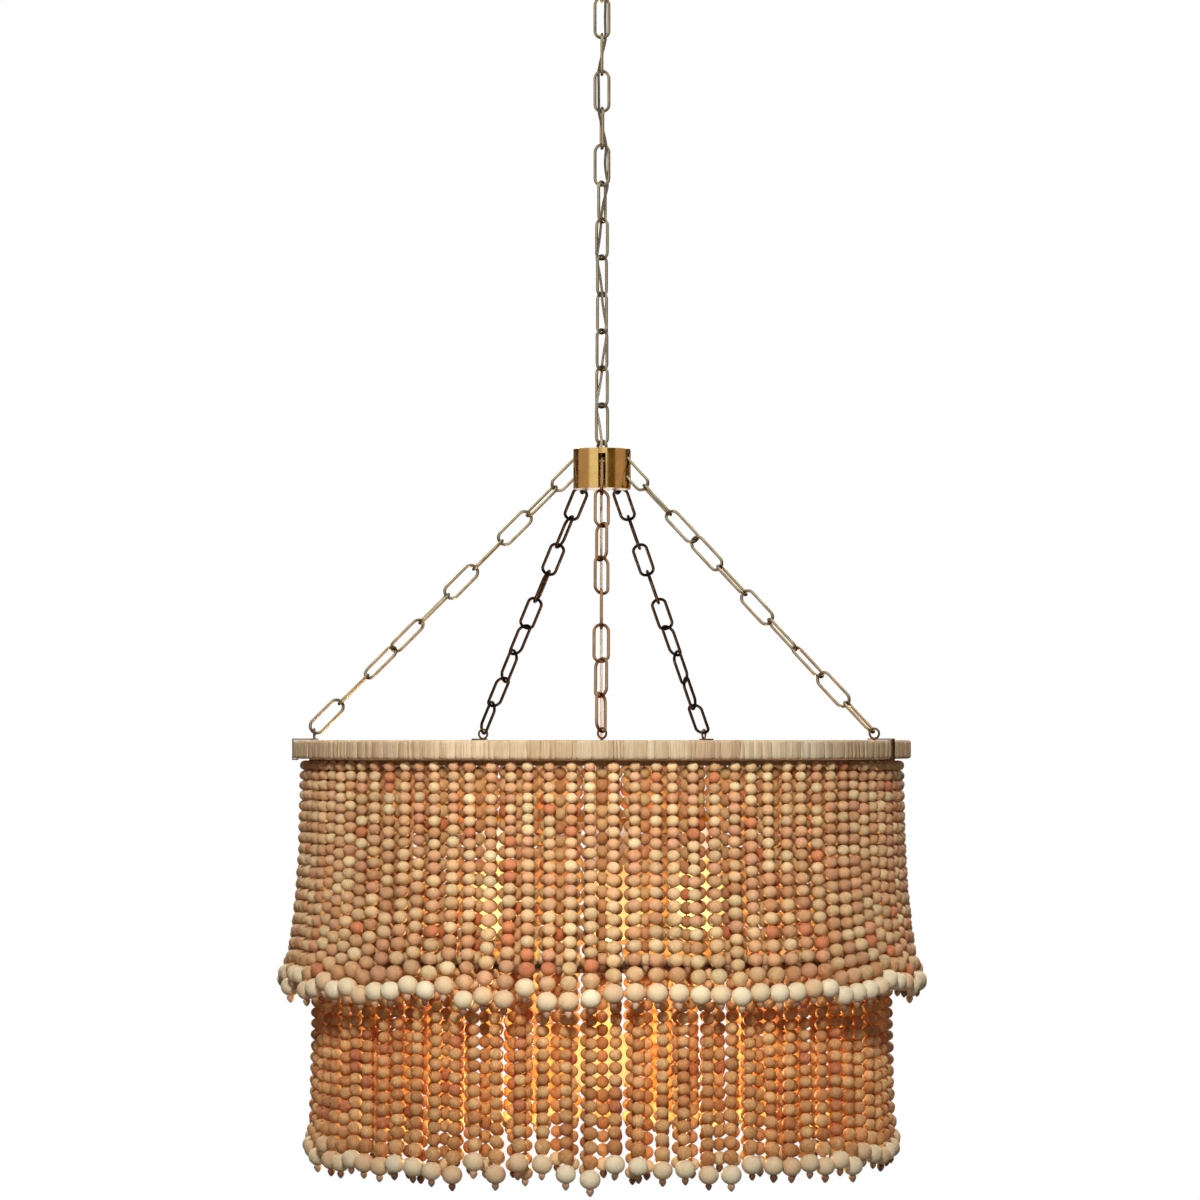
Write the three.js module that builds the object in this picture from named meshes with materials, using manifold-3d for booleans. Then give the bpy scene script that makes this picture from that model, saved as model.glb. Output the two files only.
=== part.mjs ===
// Beaded chandelier: two tiers of bead strands on a wrapped hoop, hung by five chains from a brass
// hub, which hangs from one long chain under a ceiling canopy.
// Millimetres, +Z up. The ceiling is z = 0, the lamp's axis is the Z axis and its front faces -Y.
// An azimuth is counted in degrees from the front, towards the right (+X).

import * as THREE from "three";
import { mergeVertices } from "three/addons/utils/BufferGeometryUtils.js";
import Module from "manifold-3d";

const wasm = await Module();
wasm.setup();

// Clearances and joins
const seatGap = 0.3; // between pieces that rest on each other
const weldDepth = 0.5; // how far welded pieces run into each other
const linkWeld = 0.3; // how far the links of a tight chain press into each other
const cutOverrun = 1; // how far a cut runs past its face
const mergeTolerance = 0.0001;

// How round the round things are, in sides
const wireSides = 6;
const thinWireSides = 4;
const smallSides = 12;
const turnedSides = 16;
const lampSides = 12;
const collarSides = 16;
const canopySides = 24;
const hubSides = 24;
const hoopSides = 36;
const linkSteps = 8;
const eyeSteps = 8;
const ringSteps = 16;
const archSteps = 14;

// Ceiling strap, nipple and its lock nut
const strapInset = 8.5; // from each end to the canopy's wall
const strapWidth = 22;
const strapThickness = 3;
const nippleRadius = 5;
const nippleBoreRadius = 2.2;
const nippleSolidHeight = 14;
const nippleWindowHeight = 5;
const nippleWindowWidth = 3;
const locknutRadius = 9;
const locknutHeight = 3;

// Canopy, ring nut and the loop that the chain hangs from
const canopyRadius = 65;
const canopyDepth = 28;
const canopyWall = 1.5;
const strapLength = 2 * (canopyRadius - canopyWall - strapInset);
const canopyDomeShares = [
  [1, 0],
  [0.99, 0.25],
  [0.87, 0.64],
  [0.6, 0.93],
];
const canopyHoleGap = 0.6;
const collarRadius = 12.3;
const collarRise = 2; // of the collar inside the canopy
const collarFloor = 3;
const ringNutWall = 4.4;
const ringNutHeight = 7.7;
const loopNeckRadius = 6;
const loopNeckLength = 8;
const loopRadius = 10; // to the middle of the wire
const loopWire = 3.6;
const loopBoreRadius = 2.4;

// Main chain
const linkWire = 3.2;
const linkWidth = 17.2;
const linkInnerLength = 37.5;
const linkTurnsDeg = [0, 90, 180, 277, 352, 422, 500, 590, 670, 765, 859, 937];
const loopTurnDeg = -90;
const archTurnDeg = 1030;

// Supply cord, threaded from one side of each link to the other
const cordRadius = 1.4;
const cordSides = 8;
const cordStep = 8;
const cordMidOffset = 3.2; // from the chain's axis, halfway down a link
const cordHoleRadius = 2.2;
const cordHoleOffset = 7; // of the holes in the hub and the lamp stem
const cordStart = 22; // below the ceiling, inside the nipple

// Hub
const hubRadius = 29;
const hubWall = 1.5;
const hubHeight = 40;
const hubRise = 251; // of its lower edge over the top of the hoop
const hubPlateThickness = 4;
const hubSlotWidth = 7;
const hubSlotHeight = 34.5;
const hubFloorThickness = 2.5;
const hubNotchRadius = 22; // where the slots in the floor begin
const hubPostRadius = 2.5;
const hubRingRadius = 21.5; // to the middle of the wire
const hubRingWire = 3;
const hubRingDrop = 13; // below the top of the hub
const hubLugRadius = 1.6;
const archRadius = 6.5; // to the middle of the wire
const archGap = 7; // from the hub's top to the inside of the arch
const archNutRadius = 3.5;
const archNutHeight = 3;
const archTail = 1; // of the legs below their nuts
const archHoleRadius = 1.9;

// Hoop band: pale fibre wound round a steel ring
const hoopRadius = 308;
const hoopHeight = 18.5;
const hoopWidth = 16;
const hoopBevel = 3;
const hoopWall = 3.5;
const hoopSkin = 4.5; // of fibre above and below the steel ring

// Steel frame inside
const spokeAzimuths = [0, 72, 144, -144, -72];
const spokeSide = 7;
const bossRadius = 16;
const bossHeight = 9;
const rodRadius = 3;
const lowerRingInset = 28; // of its outer edge inside the hoop's outer face
const lowerRingTop = 206; // below the top of the hoop
const lowerRingHeight = 6;
const lowerRingWidth = 10;

// Five lower chains: where each one ends, its links and the quarter turns of each link
const eyeInset = 20.5; // of the eyes inside the hoop's outer face
const lowerChains = [
  {
    side: "left",
    azimuth: -90,
    eyeTurnDeg: 90,
    quarterTurnShares: [0, 0.75, 0, 1, 0, 0.9, 1.5, 0.5, 1, 0],
  },
  {
    side: "right",
    azimuth: 66,
    eyeTurnDeg: 0,
    quarterTurnShares: [0, 0.75, 1.5, 2.1, 1, 0, 0.65, 1.15, 0, 1],
  },
  {
    side: "back_left",
    azimuth: -154,
    eyeTurnDeg: 90,
    quarterTurnShares: [0.1, 1.3, 0.6, 1.38, 0.5, 1.4, 0.9, 1.9, 1, 0],
  },
  {
    side: "back_right",
    azimuth: 158,
    eyeTurnDeg: 0,
    quarterTurnShares: [0.1, 0.8, 1.67, 0.67, 1.67, 0.67, 1.2, 2.1, 0, 1],
  },
  {
    side: "front",
    azimuth: 0,
    eyeTurnDeg: 54,
    quarterTurnShares: [0, 0.75, 1.5, 0.7, 0, 1, 1.45, 0.4],
  },
];

// Clips over the hoop, with the eyes that the chains end in
const eyeRadius = 4.9; // to the middle of the wire
const eyeWire = 2.2;
const clipWidth = 7;
const clipThickness = 1.2;
const clipTongue = 4; // of the top plate inside the eye
const clipLip = 5;
const clipLipGap = 1.6; // over the facets of the hoop's inner face
const clipHook = 6;
const spokeClampWall = 2;
const spokeClampWidth = 8;
const spokeStemRadius = 1.5;
const spokeStemLength = 4;

// Lamp frame: stem, flange and three arms
const flangeRadius = 13;
const flangeHeight = 3.7;
const stemRadius = 6;
const cordSocketDepth = 2.5;
const armAzimuths = [5, 125, -115];
const armLength = 120;
const armSide = 8;
const armDrop = 75; // below the top of the hoop
const armPadRadius = 15;
const stemFootDrop = 240; // below the top of the hoop
const stemFootHeight = 4;

// Lamp sockets and bulbs
const socketRadius = 17;
const socketBoreRadius = 13.4;
const socketHeight = 38;
const socketFloor = 4;
const bulbCapRadius = 13;
const bulbRadius = 30;
const bulbDrop = 82; // of the middle of the bulb below the top of its socket
const bulbNeckShare = 1.35; // of the cap's radius, just under the socket
const bulbNeckDrop = 6;

// Bead strands: 45 degree lengths of tape with the strands tied to them
const sectorCount = 8;
const tapeHeight = 5;
const tapeSteps = 6;
const strandSides = 4;
const ballRadius = 9.6;
const upperTapeInset = 13; // inside the hoop's outer face
const upperTier = {
  count: 12,
  top: hoopHeight,
  tapeRadius: hoopRadius - upperTapeInset,
  tapeWidth: 9,
  proud: 1.5, // of the strands' middle outside the tape
  topRadius: 5,
  neckRadius: 6.2,
  neckFlare: 11.5, // outwards from the strands' top
  neckDrop: 222,
  ballFlare: 17.5,
  ballDrop: 235,
  tipDrop: 247,
};
const lowerTier = {
  count: 10,
  top: lowerRingTop + lowerRingHeight,
  tapeRadius: hoopRadius - lowerRingInset,
  tapeWidth: 8,
  proud: 3.5,
  topRadius: 4.8,
  neckRadius: 6.4,
  neckFlare: 1.5,
  neckDrop: 388,
  ballFlare: 5,
  ballDrop: 400,
  tipDrop: 412,
};

// Heights worked out from the sizes above
const collarBottom = -(canopyDepth + seatGap + ringNutHeight);
const collarTop = -(canopyDepth - collarRise);
const loopCentre = collarBottom - loopNeckLength - loopRadius;
const firstLinkTop = loopCentre - loopRadius + loopWire / 2 + seatGap;
const linkPitch = linkInnerLength - seatGap;
const linkTops = linkTurnsDeg.map((turn, index) => firstLinkTop - index * linkPitch);
const archInside = firstLinkTop - linkTurnsDeg.length * linkPitch;
const archCentre = archInside + linkWire / 2 - archRadius;
const hubTop = archInside - archGap;
const hubBottom = hubTop - hubHeight;
const hoopTop = hubBottom - hubRise;
const hoopInnerRadius = hoopRadius - hoopWidth;
const spokeTop = hoopTop - (hoopHeight - spokeSide) / 2;
const bossTop = spokeTop + (bossHeight - spokeSide) / 2;
const cordAngle = THREE.MathUtils.degToRad((linkTurnsDeg.at(-1) + archTurnDeg) / 2);

// Colours
const colours = {
  steel: 0x8a8d90,
  brass: 0xb98c55,
  paleGold: 0xcdb88f,
  antiqueGold: 0xa98f62,
  bronze: 0x5a4632,
  fibre: 0xcdb491,
  frame: 0x4b443c,
  cord: 0xd8c9ad,
  socket: 0xe8e2d4,
  bulb: 0xffe3b0,
  bead: 0xc8935f,
  warmBead: 0xa86f42,
};

const chandelier = new THREE.Group();

// Solids

// The solid inside a closed geometry, with its faces turned outwards
function solidOf(geometry) {
  const bare = geometry.clone();
  for (const name of Object.keys(bare.attributes)) {
    if (name !== "position") bare.deleteAttribute(name);
  }
  const merged = mergeVertices(bare, mergeTolerance);
  const places = merged.attributes.position.array;
  const index = merged.index.array;
  const corners = [];
  let volume = 0;
  const a = new THREE.Vector3();
  const b = new THREE.Vector3();
  const c = new THREE.Vector3();
  for (let i = 0; i < index.length; i += 3) {
    const [p, q, r] = [index[i], index[i + 1], index[i + 2]];
    if (p === q || q === r || r === p) continue;
    corners.push(p, q, r);
    a.fromArray(places, p * 3);
    b.fromArray(places, q * 3);
    c.fromArray(places, r * 3);
    volume += a.dot(b.cross(c));
  }
  if (volume < 0) corners.reverse();
  return new wasm.Manifold(new wasm.Mesh({
    numProp: 3,
    vertProperties: new Float32Array(places),
    triVerts: new Uint32Array(corners),
  }));
}

// The geometry of a solid's skin
function geometryOf(solid) {
  const skin = solid.getMesh();
  const geometry = new THREE.BufferGeometry();
  geometry.setAttribute("position", new THREE.BufferAttribute(skin.vertProperties, 3));
  geometry.setIndex(new THREE.BufferAttribute(skin.triVerts, 1));
  geometry.computeVertexNormals();
  return geometry;
}

// Several solids joined into one
function joined(solids) {
  return solids.reduce((whole, solid) => whole.add(solid));
}

// A solid with several others cut out of it
function cut(solid, holes) {
  return holes.reduce((rest, hole) => rest.subtract(hole), solid);
}

// A profile of [radius, height] points turned about the Z axis
function turned(profile, sides) {
  const points = profile.map(([radius, height]) => new THREE.Vector2(radius, height));
  return new THREE.LatheGeometry([...points, points[0]], sides).rotateX(Math.PI / 2);
}

// A round bar along Z between two heights
function bar(radius, top, bottom, sides) {
  return turned([[0, top], [radius, top], [radius, bottom], [0, bottom]], sides);
}

// A box between two corners
function block(low, high) {
  const size = high.map((value, axis) => value - low[axis]);
  const middle = high.map((value, axis) => (value + low[axis]) / 2);
  return new THREE.BoxGeometry(...size).translate(...middle);
}

// Turns what was made along +X to an azimuth
function azimuthTurn(azimuth) {
  return THREE.MathUtils.degToRad(azimuth) - Math.PI / 2;
}

// The flat outline of a round wire or cord
function roundSection(radius, sides) {
  const corners = Array.from({ length: sides }, (unused, index) => {
    const angle = (2 * Math.PI * index) / sides;
    return new THREE.Vector2(radius * Math.cos(angle), radius * Math.sin(angle));
  });
  return new THREE.Shape(corners);
}

// A ring of wire round the Z axis
function wireRing(radius, wire, sides, steps) {
  return new THREE.TorusGeometry(radius, wire / 2, sides, steps);
}

// An oval chain link, upright in the XZ plane, about its own middle
function oval(innerLength, width, wire, sides, steps) {
  const middle = (width - wire) / 2;
  const stretch = (innerLength + wire) / 2 - middle;
  const rounding = 1 / Math.cos(Math.PI / steps);
  const link = new THREE.TorusGeometry(middle, wire / 2, sides, steps);
  link.rotateZ(Math.PI / steps).scale(rounding, rounding, 1);
  const places = link.attributes.position;
  for (let i = 0; i < places.count; i += 1) {
    places.setY(i, places.getY(i) + Math.sign(places.getY(i)) * stretch);
  }
  return link.rotateX(Math.PI / 2);
}

// Adds one named piece to the lamp, from a solid or from a closed geometry
function addPiece(name, shape, colour, look = { roughness: 0.5, metalness: 0.8 }) {
  const skin = geometryOf(shape.isBufferGeometry ? solidOf(shape) : shape);
  const mesh = new THREE.Mesh(skin, new THREE.MeshStandardMaterial({ color: colour, ...look }));
  mesh.name = name;
  chandelier.add(mesh);
  return mesh;
}

// Ceiling end

// The strap with its threaded nipple, which a lock nut holds fast
function makeStrap() {
  const plate = block(
    [-strapLength / 2, -strapWidth / 2, -strapThickness],
    [strapLength / 2, strapWidth / 2, 0],
  );
  const nutBottom = -strapThickness - locknutHeight;
  const bottom = collarBottom + collarFloor + seatGap;
  const nipple = turned([
    [0, 0],
    [locknutRadius, 0],
    [locknutRadius, nutBottom],
    [nippleRadius, nutBottom],
    [nippleRadius, bottom],
    [nippleBoreRadius, bottom],
    [nippleBoreRadius, -nippleSolidHeight],
    [0, -nippleSolidHeight],
  ], turnedSides);
  const window = block(
    [0, -nippleWindowWidth / 2, -nippleSolidHeight - nippleWindowHeight],
    [nippleRadius + cutOverrun, nippleWindowWidth / 2, -nippleSolidHeight],
  );
  return cut(joined([plate, nipple].map(solidOf)), [solidOf(window)]);
}

function makeCanopy() {
  const holeRadius = collarRadius + canopyHoleGap;
  const outer = canopyDomeShares.map(([across, down]) => [canopyRadius * across, -canopyDepth * down]);
  const innerRadius = canopyRadius - canopyWall;
  const innerDepth = canopyDepth - canopyWall;
  const inner = canopyDomeShares.map(([across, down]) => [innerRadius * across, -innerDepth * down]);
  return turned([
    ...outer,
    [holeRadius, -canopyDepth],
    [holeRadius, -innerDepth],
    ...inner.reverse(),
  ], canopySides);
}

function makeRingNut() {
  const inner = collarRadius + seatGap;
  const outer = inner + ringNutWall;
  const top = -canopyDepth - seatGap;
  return turned([[inner, top], [outer, top], [outer, collarBottom], [inner, collarBottom]], collarSides);
}

function makeLoop() {
  const holeFloor = collarBottom + collarFloor;
  const neckBottom = loopCentre + loopRadius - loopWire / 2 - seatGap;
  const body = turned([
    [0, holeFloor],
    [nippleRadius + seatGap, holeFloor],
    [nippleRadius + seatGap, collarTop],
    [collarRadius, collarTop],
    [collarRadius, collarBottom],
    [loopNeckRadius, collarBottom],
    [loopNeckRadius, neckBottom],
    [0, neckBottom],
  ], collarSides);
  const ring = wireRing(loopRadius, loopWire, wireSides, ringSteps)
    .rotateX(Math.PI / 2)
    .rotateZ(THREE.MathUtils.degToRad(loopTurnDeg))
    .translate(0, 0, loopCentre);
  const bore = bar(loopBoreRadius, holeFloor + cutOverrun, neckBottom - cutOverrun, smallSides);
  return cut(joined([solidOf(body), solidOf(ring)]), [solidOf(bore)]);
}

// Main chain

function makeMainLink(index) {
  return oval(linkInnerLength, linkWidth, linkWire, wireSides, linkSteps)
    .rotateZ(THREE.MathUtils.degToRad(linkTurnsDeg[index]))
    .translate(0, 0, linkTops[index] - linkInnerLength / 2);
}

// A point beside the chain's axis, at an angle about it
function besideAxis(offset, angle, height) {
  return new THREE.Vector3(offset * Math.cos(angle), offset * Math.sin(angle), height);
}

// The supply cord's way down: beside each crossing of two links, and through each link between
function supplyRoute() {
  const turns = [loopTurnDeg, ...linkTurnsDeg, archTurnDeg].map((turn) => THREE.MathUtils.degToRad(turn));
  const crossings = [...linkTops, archInside];
  const clear = Math.max(linkWire, loopWire) / 2 + cordRadius + seatGap;
  const route = [
    new THREE.Vector3(0, 0, -cordStart),
    new THREE.Vector3(0, 0, loopCentre + loopRadius - loopWire / 2 - seatGap),
  ];
  crossings.forEach((height, index) => {
    const half = (turns[index + 1] - turns[index]) / 2;
    const corner = clear / Math.sin(half);
    const angle = turns[index] + half;
    route.push(besideAxis(corner, angle, height + linkWire / 2));
    if (index === linkTops.length) return;
    route.push(besideAxis(corner, angle, height - linkWire));
    route.push(besideAxis(cordMidOffset, turns[index + 1], height - linkInnerLength / 2));
  });
  route.push(besideAxis(cordHoleOffset, cordAngle, archInside - linkWire));
  route.push(besideAxis(cordHoleOffset, cordAngle, hubTop - hubPlateThickness));
  return route;
}

function makeCord(route) {
  const path = new THREE.CatmullRomCurve3(route, false, "centripetal");
  return new THREE.ExtrudeGeometry(roundSection(cordRadius, cordSides), {
    steps: Math.ceil(path.getLength() / cordStep),
    extrudePath: path,
  });
}

function makeLampCord() {
  const top = hubTop - hubPlateThickness - seatGap;
  const bottom = bossTop + seatGap + flangeHeight - cordSocketDepth + seatGap;
  const place = besideAxis(cordHoleOffset, cordAngle, 0);
  return bar(cordRadius, top, bottom, cordSides).translate(place.x, place.y, 0);
}

// Hub

// The two legs and the arch of the U-bolt, upright in the XZ plane
class Arch extends THREE.Curve {
  constructor(legBottom) {
    super();
    this.leg = archCentre - legBottom;
    this.bend = Math.PI * archRadius;
  }

  getPoint(share, target = new THREE.Vector3()) {
    const run = share * (2 * this.leg + this.bend);
    if (run < this.leg) return target.set(archRadius, 0, archCentre - this.leg + run);
    if (run > this.leg + this.bend) {
      return target.set(-archRadius, 0, archCentre - (run - this.leg - this.bend));
    }
    const angle = (run - this.leg) / archRadius;
    return target.set(archRadius * Math.cos(angle), 0, archCentre + archRadius * Math.sin(angle));
  }
}

function archLegs(radius, top, bottom, sides) {
  return [1, -1].map((side) => bar(radius, top, bottom, sides).translate(side * archRadius, 0, 0));
}

function makeArch() {
  const nutTop = hubTop - hubPlateThickness - seatGap;
  const nutBottom = nutTop - archNutHeight;
  const bolt = new THREE.ExtrudeGeometry(roundSection(linkWire / 2, wireSides), {
    steps: archSteps,
    extrudePath: new Arch(nutBottom - archTail),
  });
  const nuts = archLegs(archNutRadius, nutTop, nutBottom, wireSides);
  const whole = joined([bolt, ...nuts].map(solidOf));
  return geometryOf(whole).rotateZ(THREE.MathUtils.degToRad(archTurnDeg));
}

function cordHole(top, bottom) {
  const place = besideAxis(cordHoleOffset, cordAngle, 0);
  return bar(cordHoleRadius, top + cutOverrun, bottom - cutOverrun, smallSides)
    .translate(place.x, place.y, 0);
}

// The azimuths halfway between neighbouring lower chains
function lugAzimuths() {
  const azimuths = lowerChains.map((chain) => (chain.azimuth + 360) % 360).sort((a, b) => a - b);
  return azimuths.map((azimuth, index) => {
    const next = index + 1 < azimuths.length ? azimuths[index + 1] : azimuths[0] + 360;
    return (azimuth + next) / 2;
  });
}

function makeHubTop() {
  const radius = hubRadius - hubWall - seatGap;
  const bottom = hubTop - hubPlateThickness;
  const plate = bar(radius, hubTop, bottom, hubSides);
  const ring = wireRing(hubRingRadius, hubRingWire, wireSides, ringSteps)
    .translate(0, 0, hubTop - hubRingDrop);
  const lugs = lugAzimuths().map((azimuth) => (
    bar(hubLugRadius, bottom + weldDepth, hubTop - hubRingDrop, wireSides)
      .translate(hubRingRadius, 0, 0)
      .rotateZ(azimuthTurn(azimuth))
  ));
  const legHoles = archLegs(archHoleRadius, hubTop + cutOverrun, bottom - cutOverrun, smallSides)
    .map((leg) => leg.rotateZ(THREE.MathUtils.degToRad(archTurnDeg)));
  const holes = [...legHoles, cordHole(hubTop, bottom)];
  return cut(joined([plate, ring, ...lugs].map(solidOf)), holes.map(solidOf));
}

// Slots for the chains, from a radius outwards and from below the hub up to a height
function hubSlots(fromRadius, top) {
  return lowerChains.map((chain) => block(
    [fromRadius, -hubSlotWidth / 2, hubBottom - cutOverrun],
    [hubRadius + cutOverrun, hubSlotWidth / 2, top],
  ).rotateZ(azimuthTurn(chain.azimuth)));
}

// The drawn cup round the hub, with the post that stands on its floor
function makeHubShell() {
  const inner = hubRadius - hubWall;
  const floorTop = hubBottom + hubFloorThickness;
  const postTop = hubTop - hubPlateThickness - seatGap;
  const cup = turned([
    [0, postTop],
    [hubPostRadius, postTop],
    [hubPostRadius, floorTop],
    [inner, floorTop],
    [inner, hubTop],
    [hubRadius, hubTop],
    [hubRadius, hubBottom],
    [0, hubBottom],
  ], hubSides);
  const slots = hubSlots(inner - cutOverrun, hubBottom + hubSlotHeight);
  const notches = hubSlots(hubNotchRadius, floorTop + cutOverrun);
  const holes = [...slots, ...notches, cordHole(floorTop, hubBottom)];
  return cut(solidOf(cup), holes.map(solidOf));
}

// Lower chains: each is worked out along +X and then turned to its azimuth

const hubRingHeight = hubTop - hubRingDrop;
const rimEyeHeight = hoopTop + seatGap + eyeWire / 2 + eyeRadius;
const spokeEyeHeight = spokeTop + seatGap + spokeClampWall + spokeStemLength + eyeWire / 2 + eyeRadius;

// Where a pull along a direction meets an eye's wire, from the eye's middle
function eyeContact(direction, eyeTurnDeg) {
  const eyeTurn = THREE.MathUtils.degToRad(eyeTurnDeg);
  const flat = new THREE.Vector3(Math.cos(eyeTurn), Math.sin(eyeTurn), 0);
  const up = new THREE.Vector3(0, 0, 1);
  const contact = flat.multiplyScalar(-direction.dot(flat)).addScaledVector(up, -direction.z);
  return contact.setLength(eyeRadius);
}

// The straight length from the hub's ring to an eye's wire, for a number of links
const chainEnds = (hubRingWire + eyeWire) / 2 + 2 * seatGap + linkWeld;
const rimReach = Math.hypot(
  hoopRadius - eyeInset - hubRingRadius,
  hubRingHeight - rimEyeHeight - eyeRadius,
);
const lowerPitch = (rimReach + chainEnds) / lowerChains[0].quarterTurnShares.length;

// The eye's middle and the chain's direction, so that every chain has the same pitch
function hang(chain) {
  const eyeHeight = chain.side === "front" ? spokeEyeHeight : rimEyeHeight;
  const reach = lowerPitch * chain.quarterTurnShares.length - chainEnds;
  const eye = new THREE.Vector3(0, 0, eyeHeight);
  const direction = new THREE.Vector3();
  let contact = new THREE.Vector3(0, 0, eyeRadius);
  for (let round = 0; round < 8; round += 1) {
    const drop = hubRingHeight - eyeHeight - contact.z;
    const out = Math.sqrt(reach ** 2 - drop ** 2 - contact.y ** 2);
    direction.set(out, contact.y, -drop).normalize();
    eye.x = hubRingRadius + out - contact.x;
    contact = eyeContact(direction, chain.eyeTurnDeg);
  }
  return { eye, direction };
}

function makeLowerChain(chain) {
  const { direction } = hang(chain);
  const innerLength = lowerPitch - linkWeld;
  const across = new THREE.Vector3(0, 1, 0).addScaledVector(direction, -direction.y).normalize();
  const upward = new THREE.Vector3().crossVectors(direction, across);
  const ringPlace = new THREE.Vector3(hubRingRadius, 0, hubRingHeight);
  const start = -hubRingWire / 2 - seatGap;
  const links = chain.quarterTurnShares.map((quarterTurns, index) => {
    const roll = (quarterTurns * Math.PI) / 2;
    const normal = across.clone().multiplyScalar(Math.cos(roll)).addScaledVector(upward, Math.sin(roll));
    const side = new THREE.Vector3().crossVectors(normal, direction);
    const middle = start + index * lowerPitch + innerLength / 2;
    const placing = new THREE.Matrix4()
      .makeBasis(side, normal, direction)
      .setPosition(ringPlace.clone().addScaledVector(direction, middle));
    return solidOf(oval(innerLength, linkWidth, linkWire, thinWireSides, linkSteps).applyMatrix4(placing));
  });
  return geometryOf(joined(links)).rotateZ(azimuthTurn(chain.azimuth));
}

function eyeRing(chain) {
  const { eye } = hang(chain);
  return wireRing(eyeRadius, eyeWire, wireSides, eyeSteps)
    .rotateX(Math.PI / 2)
    .rotateZ(THREE.MathUtils.degToRad(chain.eyeTurnDeg))
    .translate(eye.x, 0, eye.z);
}

// An outline of [radius, height] points given a width across the radius
function crossPlate(outline, width) {
  const shape = new THREE.Shape(outline.map(([radius, height]) => new THREE.Vector2(radius, height)));
  return new THREE.ExtrudeGeometry(shape, { depth: width, bevelEnabled: false })
    .translate(0, 0, -width / 2)
    .rotateX(Math.PI / 2);
}

function makeRimHanger(chain) {
  const plateTop = hoopTop + seatGap + clipThickness;
  const plateBottom = hoopTop + seatGap;
  const tongue = hoopRadius - eyeInset - clipTongue;
  const lipOuter = hoopInnerRadius - clipLipGap;
  const lipInner = lipOuter - clipThickness;
  const legInner = hoopRadius + seatGap;
  const legOuter = legInner + clipThickness;
  const hookTop = hoopTop - hoopHeight - seatGap;
  const hookBottom = hookTop - clipThickness;
  const clip = crossPlate([
    [tongue, plateTop],
    [tongue, plateBottom],
    [lipInner, plateBottom],
    [lipInner, hoopTop - clipLip],
    [lipOuter, hoopTop - clipLip],
    [lipOuter, plateBottom],
    [legInner, plateBottom],
    [legInner, hookTop],
    [legOuter - clipHook, hookTop],
    [legOuter - clipHook, hookBottom],
    [legOuter, hookBottom],
    [legOuter, plateTop],
  ], clipWidth);
  const whole = joined([clip, eyeRing(chain)].map(solidOf));
  return geometryOf(whole).rotateZ(azimuthTurn(chain.azimuth));
}

function makeSpokeHanger(chain) {
  const { eye } = hang(chain);
  const holeHalf = spokeSide / 2 + seatGap;
  const outerHalf = holeHalf + spokeClampWall;
  const middle = spokeTop - spokeSide / 2;
  const clampTop = middle + outerHalf;
  const outer = block(
    [eye.x - spokeClampWidth / 2, -outerHalf, middle - outerHalf],
    [eye.x + spokeClampWidth / 2, outerHalf, clampTop],
  );
  const hole = block(
    [eye.x - spokeClampWidth, -holeHalf, middle - holeHalf],
    [eye.x + spokeClampWidth, holeHalf, middle + holeHalf],
  );
  const stemTop = eye.z - eyeRadius;
  const stem = bar(spokeStemRadius, stemTop, clampTop - weldDepth, wireSides).translate(eye.x, 0, 0);
  const whole = cut(joined([outer, stem, eyeRing(chain)].map(solidOf)), [solidOf(hole)]);
  return geometryOf(whole).rotateZ(azimuthTurn(chain.azimuth));
}

// Hoop band and the steel frame inside it

function makeHoopWrap() {
  const bottom = hoopTop - hoopHeight;
  const cavityTop = hoopTop - hoopSkin;
  const cavityBottom = bottom + hoopSkin;
  const cavityRadius = hoopRadius - hoopWall;
  return turned([
    [hoopInnerRadius, hoopTop - hoopBevel],
    [hoopInnerRadius + hoopBevel, hoopTop],
    [hoopRadius - hoopBevel, hoopTop],
    [hoopRadius, hoopTop - hoopBevel],
    [hoopRadius, bottom + hoopBevel],
    [hoopRadius - hoopBevel, bottom],
    [hoopInnerRadius + hoopBevel, bottom],
    [hoopInnerRadius, bottom + hoopBevel],
    [hoopInnerRadius, cavityBottom],
    [cavityRadius, cavityBottom],
    [cavityRadius, cavityTop],
    [hoopInnerRadius, cavityTop],
  ], hoopSides);
}

function squareRing(outer, inner, top, bottom) {
  return turned([[inner, top], [outer, top], [outer, bottom], [inner, bottom]], hoopSides);
}

const rimOuter = hoopRadius - hoopWall - seatGap;
const rimInner = hoopInnerRadius + hoopBevel + seatGap;
const lowerRingPlace = hoopTop - lowerRingTop;

// The steel ring inside the band
function makeRim() {
  const top = hoopTop - hoopSkin - seatGap;
  const bottom = hoopTop - hoopHeight + hoopSkin + seatGap;
  return squareRing(rimOuter, rimInner, top, bottom);
}

// The boss with its spokes and their drop rods, cut to fit inside the steel ring
function makeSpokes() {
  const rodRing = lowerTier.tapeRadius - lowerRingWidth / 2;
  const pieces = [bar(bossRadius, bossTop, bossTop - bossHeight, turnedSides)];
  for (const azimuth of spokeAzimuths) {
    const spoke = block(
      [bossRadius / 2, -spokeSide / 2, spokeTop - spokeSide],
      [rimOuter, spokeSide / 2, spokeTop],
    );
    const rod = bar(rodRadius, spokeTop - spokeSide / 2, lowerRingPlace + seatGap, wireSides);
    pieces.push(spoke.rotateZ(azimuthTurn(azimuth)));
    pieces.push(rod.translate(rodRing, 0, 0).rotateZ(azimuthTurn(azimuth)));
  }
  const bore = bar(stemRadius + seatGap, bossTop + cutOverrun, bossTop - bossHeight - cutOverrun, turnedSides);
  const ringRoom = squareRing(
    hoopRadius + cutOverrun,
    rimInner - seatGap,
    spokeTop + cutOverrun,
    spokeTop - spokeSide - cutOverrun,
  );
  return cut(joined(pieces.map(solidOf)), [bore, ringRoom].map(solidOf));
}

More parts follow.
